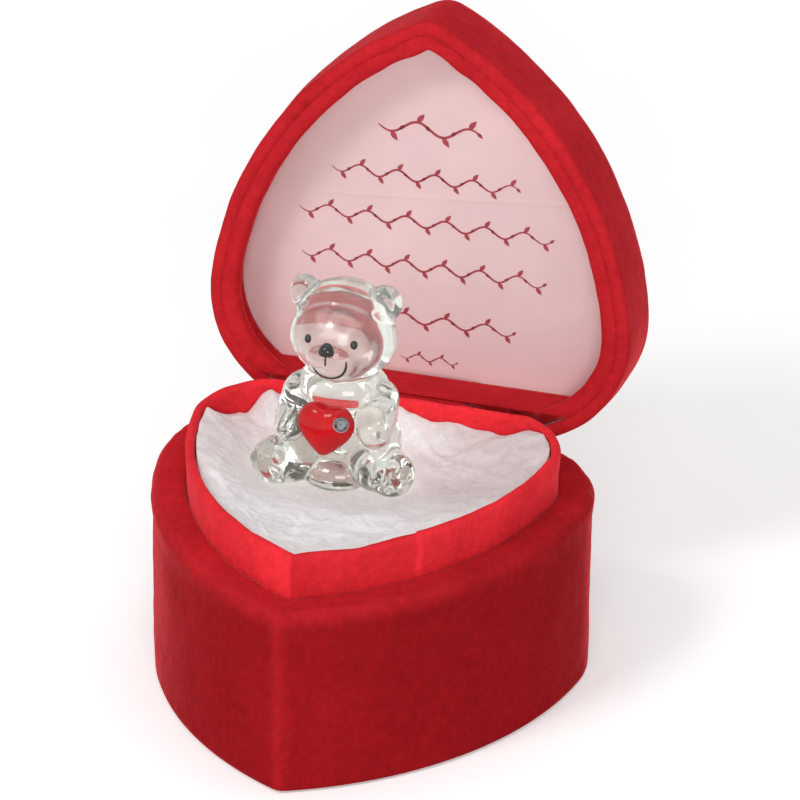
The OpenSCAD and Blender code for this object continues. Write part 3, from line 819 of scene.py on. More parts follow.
# Gap from the strip to the panel, and height of the tuck behind the roll's root
STRIP_CLEAR, STRIP_TUCK = 0.15 * MM, 0.7 * MM
RIM_SLACK = ((0.22, 5, 4.0),)
# Puckers at the tip: height, width and reach, and the most that the roll may stand out
PUCKER, PUCKER_WIDTH, PUCKER_REACH, ROLL_ROOM = 0.16 * MM, 1.9 * MM, 16 * MM, 0.2 * MM


def rim_roll(sizes, material):
    """Padded velvet roll inside the lid's rim, puckered at its tip, with a strip down to the panel."""
    rim, _, panel = lid_heights(sizes)
    outer, inner = ROLL_BACK, sizes.rim_width
    middle, half = (ROLL_MEETS + inner) / 2, (inner - ROLL_MEETS) / 2
    root = rim + ROLL_ROOT
    cleft_back = sizes.lobe_radius - sizes.cleft_depth
    outer_back = cleft_back - outer
    inner_back = sizes.lobe_radius - inner - sizes.collar_back
    rows = [(outer, root + STRIP_TUCK, None), (outer, rim + 2.2 * MM, None), (outer, rim + 1.1 * MM, None)]
    first_face = len(rows)
    for turn in np.linspace(-math.pi, 0, 19):
        t = (1 + math.cos(turn)) / 2
        back = outer_back + (inner_back - outer_back) * t
        depth = ROLL_DIP if turn < -math.pi / 2 else half
        rows.append((middle + half * math.cos(turn), rim + depth * (1 + math.sin(turn)), back))
    rows += [(inner, z, inner_back) for z in np.linspace(rim + 2 * MM, root - 1 * MM, 3)]
    last_face = len(rows)
    end = panel - STRIP_CLEAR
    rows += [(STRIP_INNER, z, cleft_back - STRIP_BACK_INNER) for z in np.linspace(root, end, 8)]
    rows += [(STRIP_OUTER, z, cleft_back - STRIP_BACK_OUTER) for z in (end, root + STRIP_TUCK)]
    rings = np.array([lifted(outline(sizes, inset, sizes.lid_tip, back), z) for inset, z, back in rows])
    run = along_ring(rings[0][:, :2])
    face = np.zeros(len(rings))
    face[first_face:last_face] = 1
    puckers = PUCKER * np.sin(run / PUCKER_WIDTH) * bump(run, 0, PUCKER_REACH)
    slack = face[:, None] * uneven(rings, RIM_SLACK, puckers[None, :])
    rings = rings + grid_normals(rings) * capped(slack, ROLL_ROOM, RIM_SOFT)[..., None]
    rings[..., 2] = floored(rings[..., 2], rim, RIM_SOFT)
    points, faces = loft(opened(rings, sizes), closed=True)
    piece = new_piece("lid_rim_cover", points, faces, material, "lid", "red_velvet", "lid_rim_roll")
    return paint_share(piece, RIM_NAP + NAP_MOTTLE * soft_noise(rings, 6 * MM, 5.0))


# Pressed crease across the satin, from end to end
CREASE_START, CREASE_END = Vector((-35.8 * MM, -19.2 * MM)), Vector((26.5 * MM, -24.5 * MM))
CREASE, CREASE_WIDTH = 0.10 * MM, 0.35 * MM
# Crown of the satin: height, half width, half length and place along the lid
SATIN_CROWN, CROWN_WIDE, CROWN_LONG, CROWN_PLACE = 0.55 * MM, 42 * MM, 40 * MM, -10 * MM
SATIN_RIPPLE = ((0.10, 16, 2.0),)
SATIN_INSET, SATIN_THICK, SATIN_HEM_ROWS, INK_STANDS = 3.15 * MM, 0.4 * MM, 8, 0.05 * MM
# Rows of the vine on the panel in millimetres: place along the lid, left end, right end, height of the wave
VINE_ROWS = (
    (-36.9, -12.6, 9.6, 1.3),
    (-26.3, -22.2, 18.2, 1.0),
    (-16.5, -29.0, 25.8, 1.0),
    (-6.8, -28.2, 24.6, 1.0),
    (4.9, -21.0, 18.6, 1.0),
    (13.4, -6.0, 6.4, 0.6),
)
# Length of a bend and half width of the stem for each height of the wave, and points to a bend
VINE_BEND, VINE_STEM, VINE_POINTS = 4.2, 0.17, 16
# Leaves of a bend: points past its top, lean in degrees, and length for each height of the wave
VINE_LEAVES = ((0, 52, 1.9), (5, -40, 1.3))


def satin_lift(x, y):
    """How far the satin stands out from its card: a crown, slack ripples and one pressed crease."""
    crown = 1 - (x / CROWN_WIDE) ** 2 - ((y - CROWN_PLACE) / CROWN_LONG) ** 2
    crown = SATIN_CROWN * np.clip(crown, 0, 1)
    flat = np.stack((x, y, 0 * x), axis=-1)
    run = (CREASE_END - CREASE_START).normalized()
    off = (x - CREASE_START.x) * -run.y + (y - CREASE_START.y) * run.x
    return uneven(flat, SATIN_RIPPLE, crown) + CREASE * bump(off, 0, CREASE_WIDTH)


def satin_panel(sizes, material, ink):
    """Satin stretched over the card in the lid, printed with rows of a leafy vine."""
    _, _, panel = lid_heights(sizes)
    edge = outline(sizes, SATIN_INSET, sizes.lid_tip)
    back = [lifted(edge, panel + SATIN_THICK)]
    front = scaled_rings(edge, [(s, panel) for s in np.linspace(1, 0.01, 150)])
    rings = np.array(back + front)
    face = rings[1:]
    hem = rises(np.arange(len(face)), 0, SATIN_HEM_ROWS)[:, None]
    face[..., 2] -= satin_lift(face[..., 0], face[..., 1]) * hem
    points, faces = loft(opened(rings, sizes), caps=(True, True))
    print_points, print_faces = vine_rows()
    height = panel - satin_lift(print_points[:, 0], print_points[:, 1]) - INK_STANDS
    print_points = opened(np.column_stack((print_points, height)), sizes)
    first = len(points)
    cloth_faces = len(faces)
    faces += [tuple(first + k for k in face) for face in print_faces]
    points = np.vstack((points, print_points))
    piece = new_piece("satin_panel_cover", points, faces, material, "lid", "pink_satin", "satin_panel")
    piece.data.materials.append(ink)
    for polygon in piece.data.polygons[cloth_faces:]:
        polygon.material_index = 1
    return piece


def vine_rows():
    """Flat points and faces of the printed vines: a waved stem with a leaf at each bend."""
    points, faces = [], []
    for along, left, right, height in VINE_ROWS:
        bends = max(2, round((right - left) / (VINE_BEND * height)))
        t = np.linspace(0, 1, bends * VINE_POINTS + 1)
        stem = np.column_stack((left + (right - left) * t, along + height * np.sin(bends * math.pi * t)))
        slope = np.gradient(stem, axis=0)
        side = np.column_stack((-slope[:, 1], slope[:, 0])) / np.linalg.norm(slope, axis=1)[:, None]
        half = VINE_STEM * height * (0.35 + np.sin(math.pi * t) ** 0.4)[:, None]
        add_strip(points, faces, stem - side * half, stem + side * half)
        for bend in range(bends):
            at = VINE_POINTS * bend + VINE_POINTS // 2
            up = 1 if bend % 2 == 0 else -1
            for past, lean, size in VINE_LEAVES:
                add_leaf(points, faces, stem[at + past], math.radians(lean * up), size * height)
    return np.array(points) * MM, faces


def add_strip(points, faces, low, high):
    """Adds a flat strip between two lines of points."""
    first, count = len(points), len(low)
    points.extend(low)
    points.extend(high)
    for k in range(count - 1):
        faces.append((first + k, first + k + 1, first + count + k + 1, first + count + k))


def add_leaf(points, faces, root, turn, size):
    """Adds a pointed leaf that leaves a stem at an angle."""
    t = np.linspace(0, 1, 9)
    across = 0.24 * size * np.sin(math.pi * t ** 0.8)
    along, side = np.array((math.cos(turn), math.sin(turn))), np.array((-math.sin(turn), math.cos(turn)))
    middle = root + along * (t * size)[:, None]
    add_strip(points, faces, middle - side * across[:, None], middle + side * across[:, None])


# Bedding

# Level seat under the bear: offset from the bear's place, half sizes, and the share where folds begin
BED_SEAT_PLACE = np.array((0, -1.5 * MM))
BED_SEAT_SIZE = np.array((18 * MM, 13.5 * MM))
BED_SEAT_END, BED_SEAT_FADE = 0.92, 0.5
# Shares of the way to the edge where the sheet begins to rise and to pleat, and the reach of each
BED_RISE, BED_PLEATS = (0.58, 0.42), (0.5, 0.4)
# Depth of the seat under the bear's foot, gap to the collar, and thickness of the sheet
BED_SINK, BED_GAP, BED_THICK = 0.12 * MM, 0.35 * MM, 0.5 * MM
# Crumples of the sheet: width and height of the ridges in millimetres, and a seed
BED_FOLDS = (
    (12, 0.8, 3.0),
    (5.5, 0.46, 7.0),
    (2.6, 0.16, 5.0),
)
FOLD_SHARP, FOLD_SETTLE = 2.4, 0.5 * MM
# Pleats that run in from the edge: height, width as a share of the way round, and a seed
PLEAT, PLEAT_WIDTH, PLEAT_SEED = 0.55 * MM, 0.15, 6.0
# Edge of the sheet round the bear: direction in degrees, and height over the bear's foot in millimetres
BED_EDGE = (
    (0, 5.0), (13, 5.4), (23, 6.0), (28, 5.0), (33, 3.4), (38, 1.6), (46, 2.5),
    (56, 3.4), (66, 4.2), (75, 4.8), (90, 4.4), (105, 4.6), (120, 3.4), (128, 2.8),
    (133, 3.2), (137, 5.0), (141, 2.6), (146, -0.6), (150, 1.0), (157, 3.2), (165, 5.0),
    (178, 6.2), (195, 5.2), (215, 4.4), (240, 3.6), (268, 3.2), (300, 3.3), (335, 4.2),
)
# Whiteness of the sheet before painted shade, pink-grey, darkens it on the right and the left, and its
# mottle
BED_WHITE, SHADE_RIGHT, SHADE_LEFT, BED_MOTTLE = 0.55, 0.55, 0.14, 0.14
# Depth of the wadding under the top of the sheet, and the slack of its sides
WADDING_DROP = 0.7 * MM
WADDING_SLACK = ((0.25, 6, 1.0),)


def bedding_top(sizes, figure):
    """Rings on top of the sheet, from the bear's seat out to the edge tucked up against the collar."""
    inset = sizes.collar_inset + sizes.collar_thickness + BED_GAP
    edge = collar_outline(sizes, inset, FOLD_RADIUS)
    centre = np.array((figure.place_x, figure.place_y))
    shares = np.linspace(0.01, 1, 130)
    plan = centre + (edge - centre)[None] * shares[:, None, None]
    turn = np.arctan2(*(edge - centre).T[::-1])
    away = np.linalg.norm((plan - centre - BED_SEAT_PLACE) / BED_SEAT_SIZE, axis=-1)
    free = rises(away, BED_SEAT_END, BED_SEAT_FADE)
    rise = rises(shares, *BED_RISE)[:, None]
    lift = np.interp(np.degrees(turn) % 360, *np.transpose(BED_EDGE), period=360)
    lift = np.convolve(np.concatenate((lift[-2:], lift, lift[:2])), np.ones(5) / 5, "valid")
    flat = np.dstack((plan, np.zeros(plan.shape[:2])))
    crumple = 0
    for width, height, seed in BED_FOLDS:
        ridges = 1 - FOLD_SHARP * np.abs(soft_noise(flat, width * MM, seed))
        crumple = crumple + height * MM * ridges
    compass = np.column_stack((np.cos(turn), np.sin(turn), 0 * turn))
    pleats = PLEAT * soft_noise(compass, PLEAT_WIDTH, PLEAT_SEED)[None, :]
    pleats = pleats * rises(shares, *BED_PLEATS)[:, None]
    level = BEAR_FOOT - BED_SINK
    height = level + rise * lift[None, :] * MM + free * (crumple + pleats - FOLD_SETTLE)
    return np.dstack((plan, height))


def bedding_white(rings):
    """How white the sheet shows: white at the tip, and darker and pinker beside the bear, as painted shade.
    """
    x, y, _ = axes(rings)
    # Painted shade on the right and the left of the bear, white towards the tip
    front = rises(-y, 12 * MM, 20 * MM)
    beside = SHADE_RIGHT * rises(x, -2 * MM, 24 * MM) + SHADE_LEFT * rises(-x, 16 * MM, 12 * MM)
    white = BED_WHITE + (1 - BED_WHITE) * front - beside * (1 - front)
    return white + BED_MOTTLE * soft_noise(rings, 6 * MM, 4.0)


def bedding(sizes, figure, sheet_material, wadding_material):
    """Crumpled white sheet on wadding, tucked down inside the collar."""
    top = bedding_top(sizes, figure)
    rings = np.concatenate((top - (0, 0, BED_THICK), top[::-1]))
    points, faces = loft(rings, caps=(True, True))
    sheet = new_piece(
        "bedding_sheet_cloth", points, faces, sheet_material, "case_base", "white_sheet", "bedding_sheet"
    )
    paint_share(sheet, bedding_white(rings))
    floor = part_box("fill_pad")[0].z
    walls = (
        (10.5, floor), (9.2, floor + 2 * MM), (8.9, floor + 9 * MM), (9.3, 24 * MM), (8.95, 36 * MM),
    )
    sides = [lifted(collar_outline(sizes, inset * MM, FOLD_RADIUS), height) for inset, height in walls]
    sides = np.array(sides)
    sides = sides + uneven(sides, WADDING_SLACK)[..., None] * (1, 1, 0)
    stuffed = top - (0, 0, WADDING_DROP)
    points, faces = loft(np.concatenate((sides, stuffed[::-3])), caps=(True, True))
    wadding = new_piece("wadding_fill", points, faces, wadding_material, "case_base", "wadding", "fill_pad")
    return sheet, wadding


# Figurine

BEAR_UNITS = 42
BODY_TURN = math.radians(4)
# Forms of the bear in units of its height over 42: centre, radii, turn about the upright axis in degrees,
# and whether there is one on both sides
BODY_FORMS = (
    ((0, 1.4, 11.4), (10.4, 9.4, 11.4), 0, False),
    ((0, 1.6, 7.4), (12.2, 9.2, 8.2), 0, False),
    ((0, 1.0, 19.0), (9.6, 7.6, 5.8), 0, False),
    ((0, 10.6, 4.6), (3.0, 2.8, 3.0), 0, False),
    ((0, -4.4, 2.6), (7.4, 6.0, 4.2), 0, False),
    ((11.9, -7.3, 4.7), (5.0, 4.3, 5.0), 0, True),
    ((10.4, -10.5, 7.2), (1.5, 1.6, 1.6), 0, True),
    ((13.0, -10.3, 7.2), (1.5, 1.6, 1.6), 0, True),
    ((15.3, -9.5, 6.0), (1.5, 1.6, 1.6), 0, True),
)
HEAD_FORMS = (
    ((0, 2.4, 33.4), (10.3, 8.0, 8.6), 0, False),
    ((0, 1.2, 30.0), (11.1, 8.6, 8.8), 0, False),
    ((0, -1.2, 30.6), (8.8, 7.8, 8.6), 0, False),
    ((0.1, -5.2, 29.2), (5.8, 5.4, 5.2), 0, False),
    ((8.1, 2.2, 38.0), (3.8, 2.7, 4.1), 18, True),
)
# Limbs on both sides of the body: start, radius, end, radius
BEAR_LIMBS = (
    ((7.6, -0.6, 17.6), 4.4, (8.2, -5.0, 14.4), 4.2),
    ((8.2, -5.0, 14.4), 4.2, (8.6, -8.2, 14.0), 3.3),
    ((6.2, -0.4, 6.4), 6.4, (8.8, -6.0, 5.6), 5.5),
    ((8.8, -6.0, 5.6), 5.4, (11.9, -7.2, 4.8), 4.8),
)
# Hollows on both sides: place, reach, push
BEAR_DENTS = (
    ((8.6, -0.8, 38.2), 2.7, (0, 1.6, 0)),
    ((12.0, -12.0, 3.6), 3.0, (-0.2, 0.9, 0)),
)
# Voxels that melt the forms into one skin, and the share and rounds of its smoothing
MELT_VOXEL, SETTLE_SHARE, SETTLE_ROUNDS = 0.34 * MM, 0.5, 18
# Enamel on the face: place across, height, half width, half height, and how far it stands out
EYE = (4.8, 32.8, 0.78, 0.92, 0.7)
NOSE, NOSE_CORNERS = (-0.2, 31.9, 1.65, 1.5, 1.35), 0.09
# Line below the nose: top, foot and radius. Smile: place across, height, reach, ends in degrees and radius
LIP_TOP, LIP_FOOT, LIP_RADIUS = 30.9, 28.8, 0.22
SMILE_X, SMILE_Z, SMILE_REACH, SMILE_ENDS, SMILE_RADIUS = 0.2, 29.2, 3.6, (200, 372), 0.28
# Depth from which the face is looked for
FACE_DEPTH = -40


def on_bear(figure, point):
    """A place on the bear, given in its own units, in the case's frame."""
    unit = figure.height / BEAR_UNITS
    x, y, z = point
    return Vector((figure.place_x + unit * x, figure.place_y + unit * y, BEAR_FOOT + unit * z))


def turned(point, turn):
    """A place on the bear after a turn about its upright axis."""
    return Matrix.Rotation(turn, 3, "Z") @ Vector(point)


def add_form(shell, centre, radii, turn, unit):
    """Adds one rounded form to a mesh under construction."""
    size = Matrix.Diagonal((*(Vector(radii) * unit), 1))
    matrix = Matrix.Translation(centre) @ Matrix.Rotation(turn, 4, "Z") @ size
    bmesh.ops.create_icosphere(shell, subdivisions=4, radius=1, matrix=matrix)


def bear_glass(figure, material):
    """Moulded glass bear: rounded forms melted into one skin, then dented and sat flat."""
    unit = figure.height / BEAR_UNITS
    shell = bmesh.new()
    for forms, body_turn in ((BODY_FORMS, BODY_TURN), (HEAD_FORMS, 0)):
        for centre, radii, turn, both in forms:
            for side in (1, -1) if both else (1,):
                place = turned((centre[0] * side, centre[1], centre[2]), body_turn)
                add_form(shell, on_bear(figure, place), radii, math.radians(turn * side) + body_turn, unit)
    for start, r0, end, r1 in BEAR_LIMBS:
        for side in (1, -1):
            for t in np.linspace(0, 1, 9):
                point = Vector(start).lerp(Vector(end), t)
                r = r0 + (r1 - r0) * t
                place = turned((point.x * side, point.y, point.z), BODY_TURN)
                add_form(shell, on_bear(figure, place), (r, r, r), 0, unit)
    mesh = bpy.data.meshes.new("bear_glass_skin")
    shell.to_mesh(mesh)
    shell.free()
    bear = bpy.data.objects.new("bear_glass_skin", mesh)
    bpy.context.scene.collection.objects.link(bear)
    melt = bear.modifiers.new("melt", "REMESH")
    melt.mode, melt.voxel_size = "VOXEL", MELT_VOXEL
    settle = bear.modifiers.new("settle", "SMOOTH")
    settle.factor, settle.iterations = SETTLE_SHARE, SETTLE_ROUNDS
    graph = bpy.context.evaluated_depsgraph_get()
    bear.data = bpy.data.meshes.new_from_object(bear.evaluated_get(graph))
    bear.modifiers.clear()
    points = np.array([vertex.co for vertex in bear.data.vertices])
    for place, reach, push in BEAR_DENTS:
        for side in (1, -1):
            centre = on_bear(figure, (place[0] * side, place[1], place[2]))
            near = np.clip(np.linalg.norm(points - centre, axis=1) / (reach * unit), 0, 1)
            points += ((1 - near ** 2) ** 2)[:, None] * np.array((push[0] * side, push[1], push[2])) * unit
    points[:, 2] = np.maximum(points[:, 2], BEAR_FOOT)
    bear.data.vertices.foreach_set("co", points.ravel())
    bear.visible_shadow = False
    return dressed(bear, material, "figurine", "clear_glass", "bear_glass")


def skin_of(bear):
    """Search tree of the bear's skin."""
    mesh = bear.data
    return BVHTree.FromPolygons([v.co for v in mesh.vertices], [tuple(f.vertices) for f in mesh.polygons])


def on_skin(skin, figure, x, z):
    """Point and normal on the front of the bear, at a place across and a height in the bear's units."""
    point, normal, _, _ = skin.ray_cast(on_bear(figure, (x, FACE_DEPTH, z)), Vector((0, 1, 0)))
    if point is None:
        raise RuntimeError(f"no glass behind the face at {x}, {z}")
    return point, normal


def enamel_dome(skin, figure, x, z, half_width, half_height, stands, point_down=0.0):
    """Domed drop of enamel on the skin, drawn to three soft corners by point_down."""
    unit = figure.height / BEAR_UNITS
    middle, normal = on_skin(skin, figure, x, z)
    across = (Vector((1, 0, 0)) - normal * normal.x).normalized()
    up = across.cross(normal)
    turn = np.linspace(0, 2 * math.pi, 32, endpoint=False)
    reach = 1 + point_down * np.cos(3 * (turn + math.pi / 2))
    rings = []
    for tilt in np.linspace(-0.5, 1.5, 11):
        wide, high = math.cos(tilt), math.sin(tilt)
        ring = np.outer(np.cos(turn) * reach * half_width * wide, across)
        ring += np.outer(np.sin(turn) * reach * half_height * wide, up)
        rings.append(np.array(middle) + unit * (ring + stands * high * np.array(normal)))
    return loft(rings, caps=(True, True))


def enamel_line(skin, figure, path, radius):
    """Bead of enamel along places on the skin, with tapered ends."""
    unit = figure.height / BEAR_UNITS
    hits = [on_skin(skin, figure, x, z) for x, z in path]
    line = np.array([point for point, _ in hits])
    normals = np.array([normal for _, normal in hits])
    along = np.gradient(line, axis=0)
    along /= np.linalg.norm(along, axis=1, keepdims=True)
    side = np.cross(along, normals)
    t = np.linspace(-1, 1, len(line))
    size = radius * unit * np.sqrt(np.maximum(1 - np.abs(t) ** 6, 0.02))
    turn = np.linspace(0, 2 * math.pi, 12, endpoint=False)
    rings = [
        line[k] + size[k] * (np.outer(np.cos(turn), side[k]) + np.outer(np.sin(turn), normals[k]))
        for k in range(len(line))
    ]
    return loft(rings, caps=(True, True))


def joined(*meshes):
    """Points and faces of several meshes as one."""
    points, faces = np.empty((0, 3)), []
    for more, more_faces in meshes:
        faces += [tuple(k + len(points) for k in face) for face in more_faces]
        points = np.vstack((points, more))
    return points, faces


def bear_face(figure, skin, material):
    """Enamel eyes, a rounded nose with the line below it, and a smile."""
    eyes = joined(*(enamel_dome(skin, figure, EYE[0] * side, *EYE[1:]) for side in (1, -1)))
    nose = enamel_dome(skin, figure, *NOSE, point_down=NOSE_CORNERS)
    lip = enamel_line(skin, figure, [(NOSE[0], z) for z in np.linspace(LIP_TOP, LIP_FOOT, 12)], LIP_RADIUS)
    turn = np.radians(np.linspace(*SMILE_ENDS, 48))
    curve = np.column_stack((SMILE_X + SMILE_REACH * np.cos(turn), SMILE_Z + SMILE_REACH * np.sin(turn)))
    smile = enamel_line(skin, figure, curve, SMILE_RADIUS)
    for name, mesh, node in (
        ("bear_eye_enamel", eyes, "bear_eyes"),
        ("bear_nose_enamel", joined(nose, lip), "bear_nose"),
        ("bear_smile_enamel", smile, "bear_mouth"),
    ):
        new_piece(name, *mesh, material, "figurine", "black_enamel", node)


# Heart: its place on the bear, its lean, and how far its outline is filled to an oval and drawn tall
HEART_PLACE = (-0.1, -10.15, 15.8)
HEART_LEAN = (math.radians(-6), math.radians(4), 0)
HEART_FULL, HEART_TALL = 0.55, 1.06
# Width of the heart's drawn curve, its points and rows, and the turn left for the caps on its two faces
HEART_DRAWN, HEART_POINTS, HEART_ROWS, HEART_CAP = 32, 120, 31, 0.05


def heart_piece(figure, material):
    """Puffy red heart held to the bear's chest."""
    turn = np.linspace(0, 2 * math.pi, HEART_POINTS, endpoint=False)
    curve = np.column_stack((
        16 * np.sin(turn) ** 3,
        13 * np.cos(turn) - 5 * np.cos(2 * turn) - 2 * np.cos(3 * turn) - np.cos(4 * turn),
    ))
    oval = np.column_stack((16 * np.sin(turn), 16 * np.cos(turn) - 2))
    plan = (curve * (1 - HEART_FULL) + oval * HEART_FULL) * (figure.heart_width / HEART_DRAWN)
    rings = []
    for tilt in np.linspace(-math.pi / 2 + HEART_CAP, math.pi / 2 - HEART_CAP, HEART_ROWS):
        drawn_in = math.cos(tilt) ** 0.8
        across, up = plan[:, 0] * drawn_in, HEART_TALL * plan[:, 1] * drawn_in
        rings.append(np.column_stack((across, np.full(HEART_POINTS, math.sin(tilt)), up)))
    rings = np.array(rings)
    rings[..., 1] *= -figure.heart_depth / 2
    points, faces = loft(rings, caps=(True, True))
    lean = Matrix.Translation(on_bear(figure, HEART_PLACE)) @ Euler(HEART_LEAN).to_matrix().to_4x4()
    points = [lean @ Vector(p) for p in points]
    return new_piece("heart_charm_enamel", points, faces, material, "figurine", "red_enamel", "heart_charm")


# Stage

# Half width of the floor, and the distances from the middle between which its glow rises
FLOOR_REACH, FLOOR_NEAR, FLOOR_FAR = 3.0, 0.2, 1.1
# Soft lamps: name, place, width, and the setting that holds the power
LAMPS = (
    ("key lamp", (-0.45, -0.75, 1.0), 0.35, "key"),
    ("front lamp", (0.45, -1.35, 0.55), 0.6, "front"),
    ("top lamp", (0.1, 0.1, 1.2), 0.7, "top"),
)
LAMP_TARGET = (0, 0, 0.05)
SENSOR_WIDTH, CLIP_START, CLIP_END = 36, 0.05, 20


def paint_node(name, material):
    """Gives a CAD node's object its material."""
    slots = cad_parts[name].data.materials
    slots.clear()
    slots.append(material)


def backdrop_rays(tree):
    """1 where the camera, a reflection or a view through glass meets the backdrop, and 0 elsewhere."""
    path = tree.nodes.new("ShaderNodeLightPath")
    sight = path.outputs["Is Camera Ray"]
    for name in ("Is Glossy Ray", "Is Transmission Ray"):
        either = tree.nodes.new("ShaderNodeMath")
        either.operation = "MAXIMUM"
        tree.links.new(sight, either.inputs[0])
        tree.links.new(path.outputs[name], either.inputs[1])
        sight = either.outputs[0]
    return sight


def floor_material(stage):
    """White floor that keeps its shadow, lifted towards white where it is seen, more where lamps fade."""
    finish = Finish(
        "pale floor", stage.backdrop, 0.9, Specular_IOR_Level=0.1, Emission_Color=(*stage.backdrop, 1.0)
    )
    finish.tint(finish.noise(40, detail=3), stage.backdrop, (0.3, 0.985), (0.7, 1))
    away = finish.tree.nodes.new("ShaderNodeVectorMath")
    away.operation = "LENGTH"
    finish.link(finish.place, away, 0)
    glow = finish.between(away.outputs["Value"], stage.floor_glow, stage.far_glow, FLOOR_NEAR, FLOOR_FAR)
    lift = finish.tree.nodes.new("ShaderNodeMath")
    lift.operation = "MULTIPLY"
    finish.link(backdrop_rays(finish.tree), lift, 0)
    finish.link(glow, lift, 1)
    finish.link(lift.outputs[0], finish.shader, "Emission Strength")
    return finish.material


def add_floor(stage):
    """Wide flat floor under the case."""
    corners = [(x * FLOOR_REACH, y * FLOOR_REACH, 0) for x, y in ((-1, -1), (1, -1), (1, 1), (-1, 1))]
    mesh = bpy.data.meshes.new("floor")
    mesh.from_pydata(corners, [], [(0, 1, 2, 3)])
    mesh.materials.append(floor_material(stage))
    floor = bpy.data.objects.new("floor", mesh)
    bpy.context.scene.collection.objects.link(floor)


def add_lamp(name, place, width, watts):
    """A square soft lamp that faces the case."""
    lamp = bpy.data.lights.new(name, "AREA")
    lamp.size, lamp.energy = width, watts
    holder = bpy.data.objects.new(name, lamp)
    holder.location = place
    holder.rotation_mode = "QUATERNION"
    holder.rotation_quaternion = (Vector(LAMP_TARGET) - Vector(place)).to_track_quat("-Z", "Y")
    bpy.context.scene.collection.objects.link(holder)


def add_camera(stage):
    """Camera at the photograph's angle."""
    az, el, roll = stage.azimuth, stage.elevation, stage.roll
    back = Vector((math.sin(az) * math.cos(el), -math.cos(az) * math.cos(el), math.sin(el)))
    right = Vector((math.cos(az), math.sin(az), 0))
    up = back.cross(right)
    right, up = right * math.cos(roll) + up * math.sin(roll), up * math.cos(roll) - right * math.sin(roll)
    data = bpy.data.cameras.new("camera")
    data.lens, data.sensor_width = stage.lens, SENSOR_WIDTH
    data.clip_start, data.clip_end = CLIP_START, CLIP_END
    camera = bpy.data.objects.new("camera", data)
    camera.matrix_world = Matrix.Translation(Vector(stage.target) + back * stage.distance) @ Matrix(
        (right, up, back)
    ).transposed().to_4x4()
    bpy.context.scene.collection.objects.link(camera)
    bpy.context.scene.camera = camera


def add_world(stage):
    """Soft even light, with a white backdrop for the camera and through glass."""
    world = bpy.data.worlds.new("studio")
    bpy.context.scene.world = world
    world.use_nodes = True
    tree = world.node_tree
    fill = tree.nodes["Background"]
    fill.inputs["Color"].default_value = (*stage.backdrop, 1)
    fill.inputs["Strength"].default_value = stage.fill
    white = tree.nodes.new("ShaderNodeBackground")
    white.inputs["Color"].default_value = (*stage.backdrop, 1)
    mix = tree.nodes.new("ShaderNodeMixShader")
    tree.links.new(backdrop_rays(tree), mix.inputs[0])
    tree.links.new(fill.outputs[0], mix.inputs[1])
    tree.links.new(white.outputs[0], mix.inputs[2])
    tree.links.new(mix.outputs[0], tree.nodes["World Output"].inputs["Surface"])


# Operators

class HEARTCASE_OT_base(bpy.types.Operator):
    """Cover the base and its collar with velvet"""

    bl_idname = "heartcase.base"
    bl_label = "Base velvet and collar"

    def execute(self, context):
        scene = context.scene
        velvet = velvet_finish(scene.case_colours)
        base_velvet(scene.case_sizes, velvet)
        collar_velvet(scene.case_sizes, velvet)
        return {"FINISHED"}


class HEARTCASE_OT_lid(bpy.types.Operator):
    """Cover the lid and its rim with velvet"""

    bl_idname = "heartcase.lid"
    bl_label = "Lid velvet and rim"

    def execute(self, context):
        scene = context.scene
        velvet = velvet_finish(scene.case_colours)
        lid_velvet(scene.case_sizes, velvet)
        rim_roll(scene.case_sizes, velvet)
        return {"FINISHED"}


class HEARTCASE_OT_panel(bpy.types.Operator):
    """Stretch the satin panel in the lid"""

    bl_idname = "heartcase.panel"
    bl_label = "Satin panel"

    def execute(self, context):
        scene = context.scene
        colours = scene.case_colours
        satin_panel(scene.case_sizes, satin_finish(colours), ink_finish(colours))
        return {"FINISHED"}


class HEARTCASE_OT_bedding(bpy.types.Operator):
    """Lay the wadding and the white sheet in the base"""

    bl_idname = "heartcase.bedding"
    bl_label = "Bedding"

    def execute(self, context):
        scene = context.scene
        colours = scene.case_colours
        sheet, wadding = bedding(
            scene.case_sizes, scene.figurine_sizes, sheet_finish(colours), wadding_finish(colours)
        )
        for piece in (sheet, wadding):
            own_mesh(piece)
        return {"FINISHED"}


class HEARTCASE_OT_fittings(bpy.types.Operator):
    """Finish the shells, boards, felt, foam and hinge"""

    bl_idname = "heartcase.fittings"
    bl_label = "Shells, boards and hinge"

    def execute(self, context):
        colours = context.scene.case_colours
        plastic = dull_finish("moulded plastic", colours.plastic, rough=0.5, grain=900, depth=0.06 * MM)
        board = dull_finish("grey board", colours.board, rough=0.85, grain=1400, depth=0.08 * MM)
        felt = dull_finish("red felt", colours.felt, rough=0.95, grain=1800, depth=0.2 * MM, sheen=0.4)
        foam = dull_finish("foam", colours.foam, rough=0.9, grain=1100, depth=0.3 * MM)
        brass = metal_finish("plated brass", colours.brass, rough=0.28, scratch=0.25)
        steel = metal_finish("bright steel", colours.steel, rough=0.25, scratch=0.2)
        finishes = {
            plastic: ("base_shell", "lid_shell"),
            board: ("collar_board", "panel_card"),
            felt: ("base_sole",),
            foam: ("lid_backing_pad",),
            brass: ("hinge_base_leaf", "hinge_lid_leaf", "hinge_base_rivets", "hinge_lid_rivets"),
            steel: ("hinge_pin",),
        }
        for material, names in finishes.items():
            for name in names:
                paint_node(name, material)
        return {"FINISHED"}


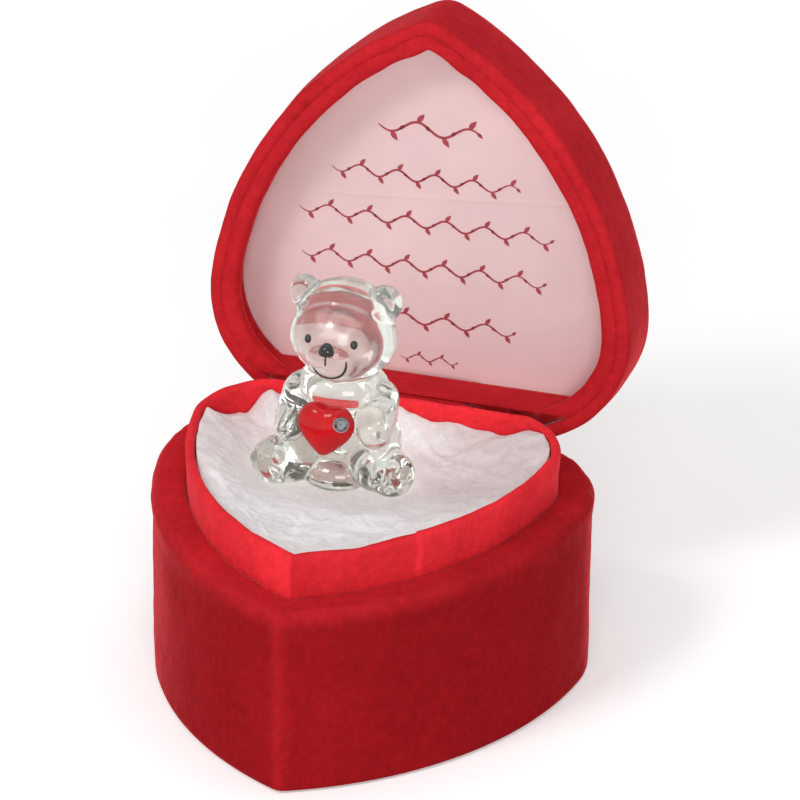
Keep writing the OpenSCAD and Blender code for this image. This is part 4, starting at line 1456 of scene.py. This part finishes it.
class HEARTCASE_OT_bear(bpy.types.Operator):
    """Mould the glass bear with its enamel face"""

    bl_idname = "heartcase.bear"
    bl_label = "Glass bear"

    def execute(self, context):
        scene = context.scene
        colours = scene.figurine_colours
        bear = bear_glass(scene.figurine_sizes, glass_finish(colours))
        enamel = enamel_finish("face enamel", colours.enamel, ripple=0.1, coat=0.8)
        bear_face(scene.figurine_sizes, skin_of(bear), enamel)
        return {"FINISHED"}


class HEARTCASE_OT_heart(bpy.types.Operator):
    """Make the red heart with its stone"""

    bl_idname = "heartcase.heart"
    bl_label = "Heart and stone"

    def execute(self, context):
        scene = context.scene
        colours = scene.figurine_colours
        enamel = enamel_finish("red enamel", colours.heart, ripple=0.25, coat=0.2)
        heart_piece(scene.figurine_sizes, enamel)
        metal = metal_finish("setting metal", colours.setting, rough=0.22, scratch=0.15)
        paint_node("stone_setting", metal)
        paint_node("heart_stone", stone_finish(colours))
        return {"FINISHED"}


class HEARTCASE_OT_stage(bpy.types.Operator):
    """Set the floor, the lamps, the backdrop and the camera"""

    bl_idname = "heartcase.stage"
    bl_label = "Stage"

    def execute(self, context):
        stage = context.scene.stage_settings
        add_floor(stage)
        for name, place, width, setting in LAMPS:
            add_lamp(name, place, width, getattr(stage, setting))
        add_world(stage)
        add_camera(stage)
        context.scene.view_settings.view_transform = "Standard"
        return {"FINISHED"}


class HEARTCASE_PT_pieces(bpy.types.Panel):
    """Lists the pieces of the heart case"""

    bl_idname = "HEARTCASE_PT_pieces"
    bl_label = "Heart case"
    bl_space_type = "VIEW_3D"
    bl_region_type = "UI"
    bl_category = "Heart case"

    def draw(self, context):
        for operator in OPERATORS:
            self.layout.operator(operator.bl_idname)


GROUPS = {
    "case_sizes": CaseSizes,
    "case_colours": CaseColours,
    "figurine_sizes": FigurineSizes,
    "figurine_colours": FigurineColours,
    "stage_settings": StageSettings,
}
OPERATORS = (
    HEARTCASE_OT_base,
    HEARTCASE_OT_lid,
    HEARTCASE_OT_panel,
    HEARTCASE_OT_bedding,
    HEARTCASE_OT_fittings,
    HEARTCASE_OT_bear,
    HEARTCASE_OT_heart,
    HEARTCASE_OT_stage,
)


def register():
    for name, group in GROUPS.items():
        bpy.utils.register_class(group)
        setattr(bpy.types.Scene, name, PointerProperty(type=group))
    for item in (*OPERATORS, HEARTCASE_PT_pieces):
        bpy.utils.register_class(item)


def unregister():
    for item in (HEARTCASE_PT_pieces, *reversed(OPERATORS)):
        bpy.utils.unregister_class(item)
    for name, group in reversed(GROUPS.items()):
        delattr(bpy.types.Scene, name)
        bpy.utils.unregister_class(group)


def main():
    register()
    bpy.ops.heartcase.base()
    bpy.ops.heartcase.lid()
    bpy.ops.heartcase.panel()
    bpy.ops.heartcase.bedding()
    bpy.ops.heartcase.fittings()
    bpy.ops.heartcase.bear()
    bpy.ops.heartcase.heart()
    bpy.ops.heartcase.stage()


if __name__ == "__main__":
    main()
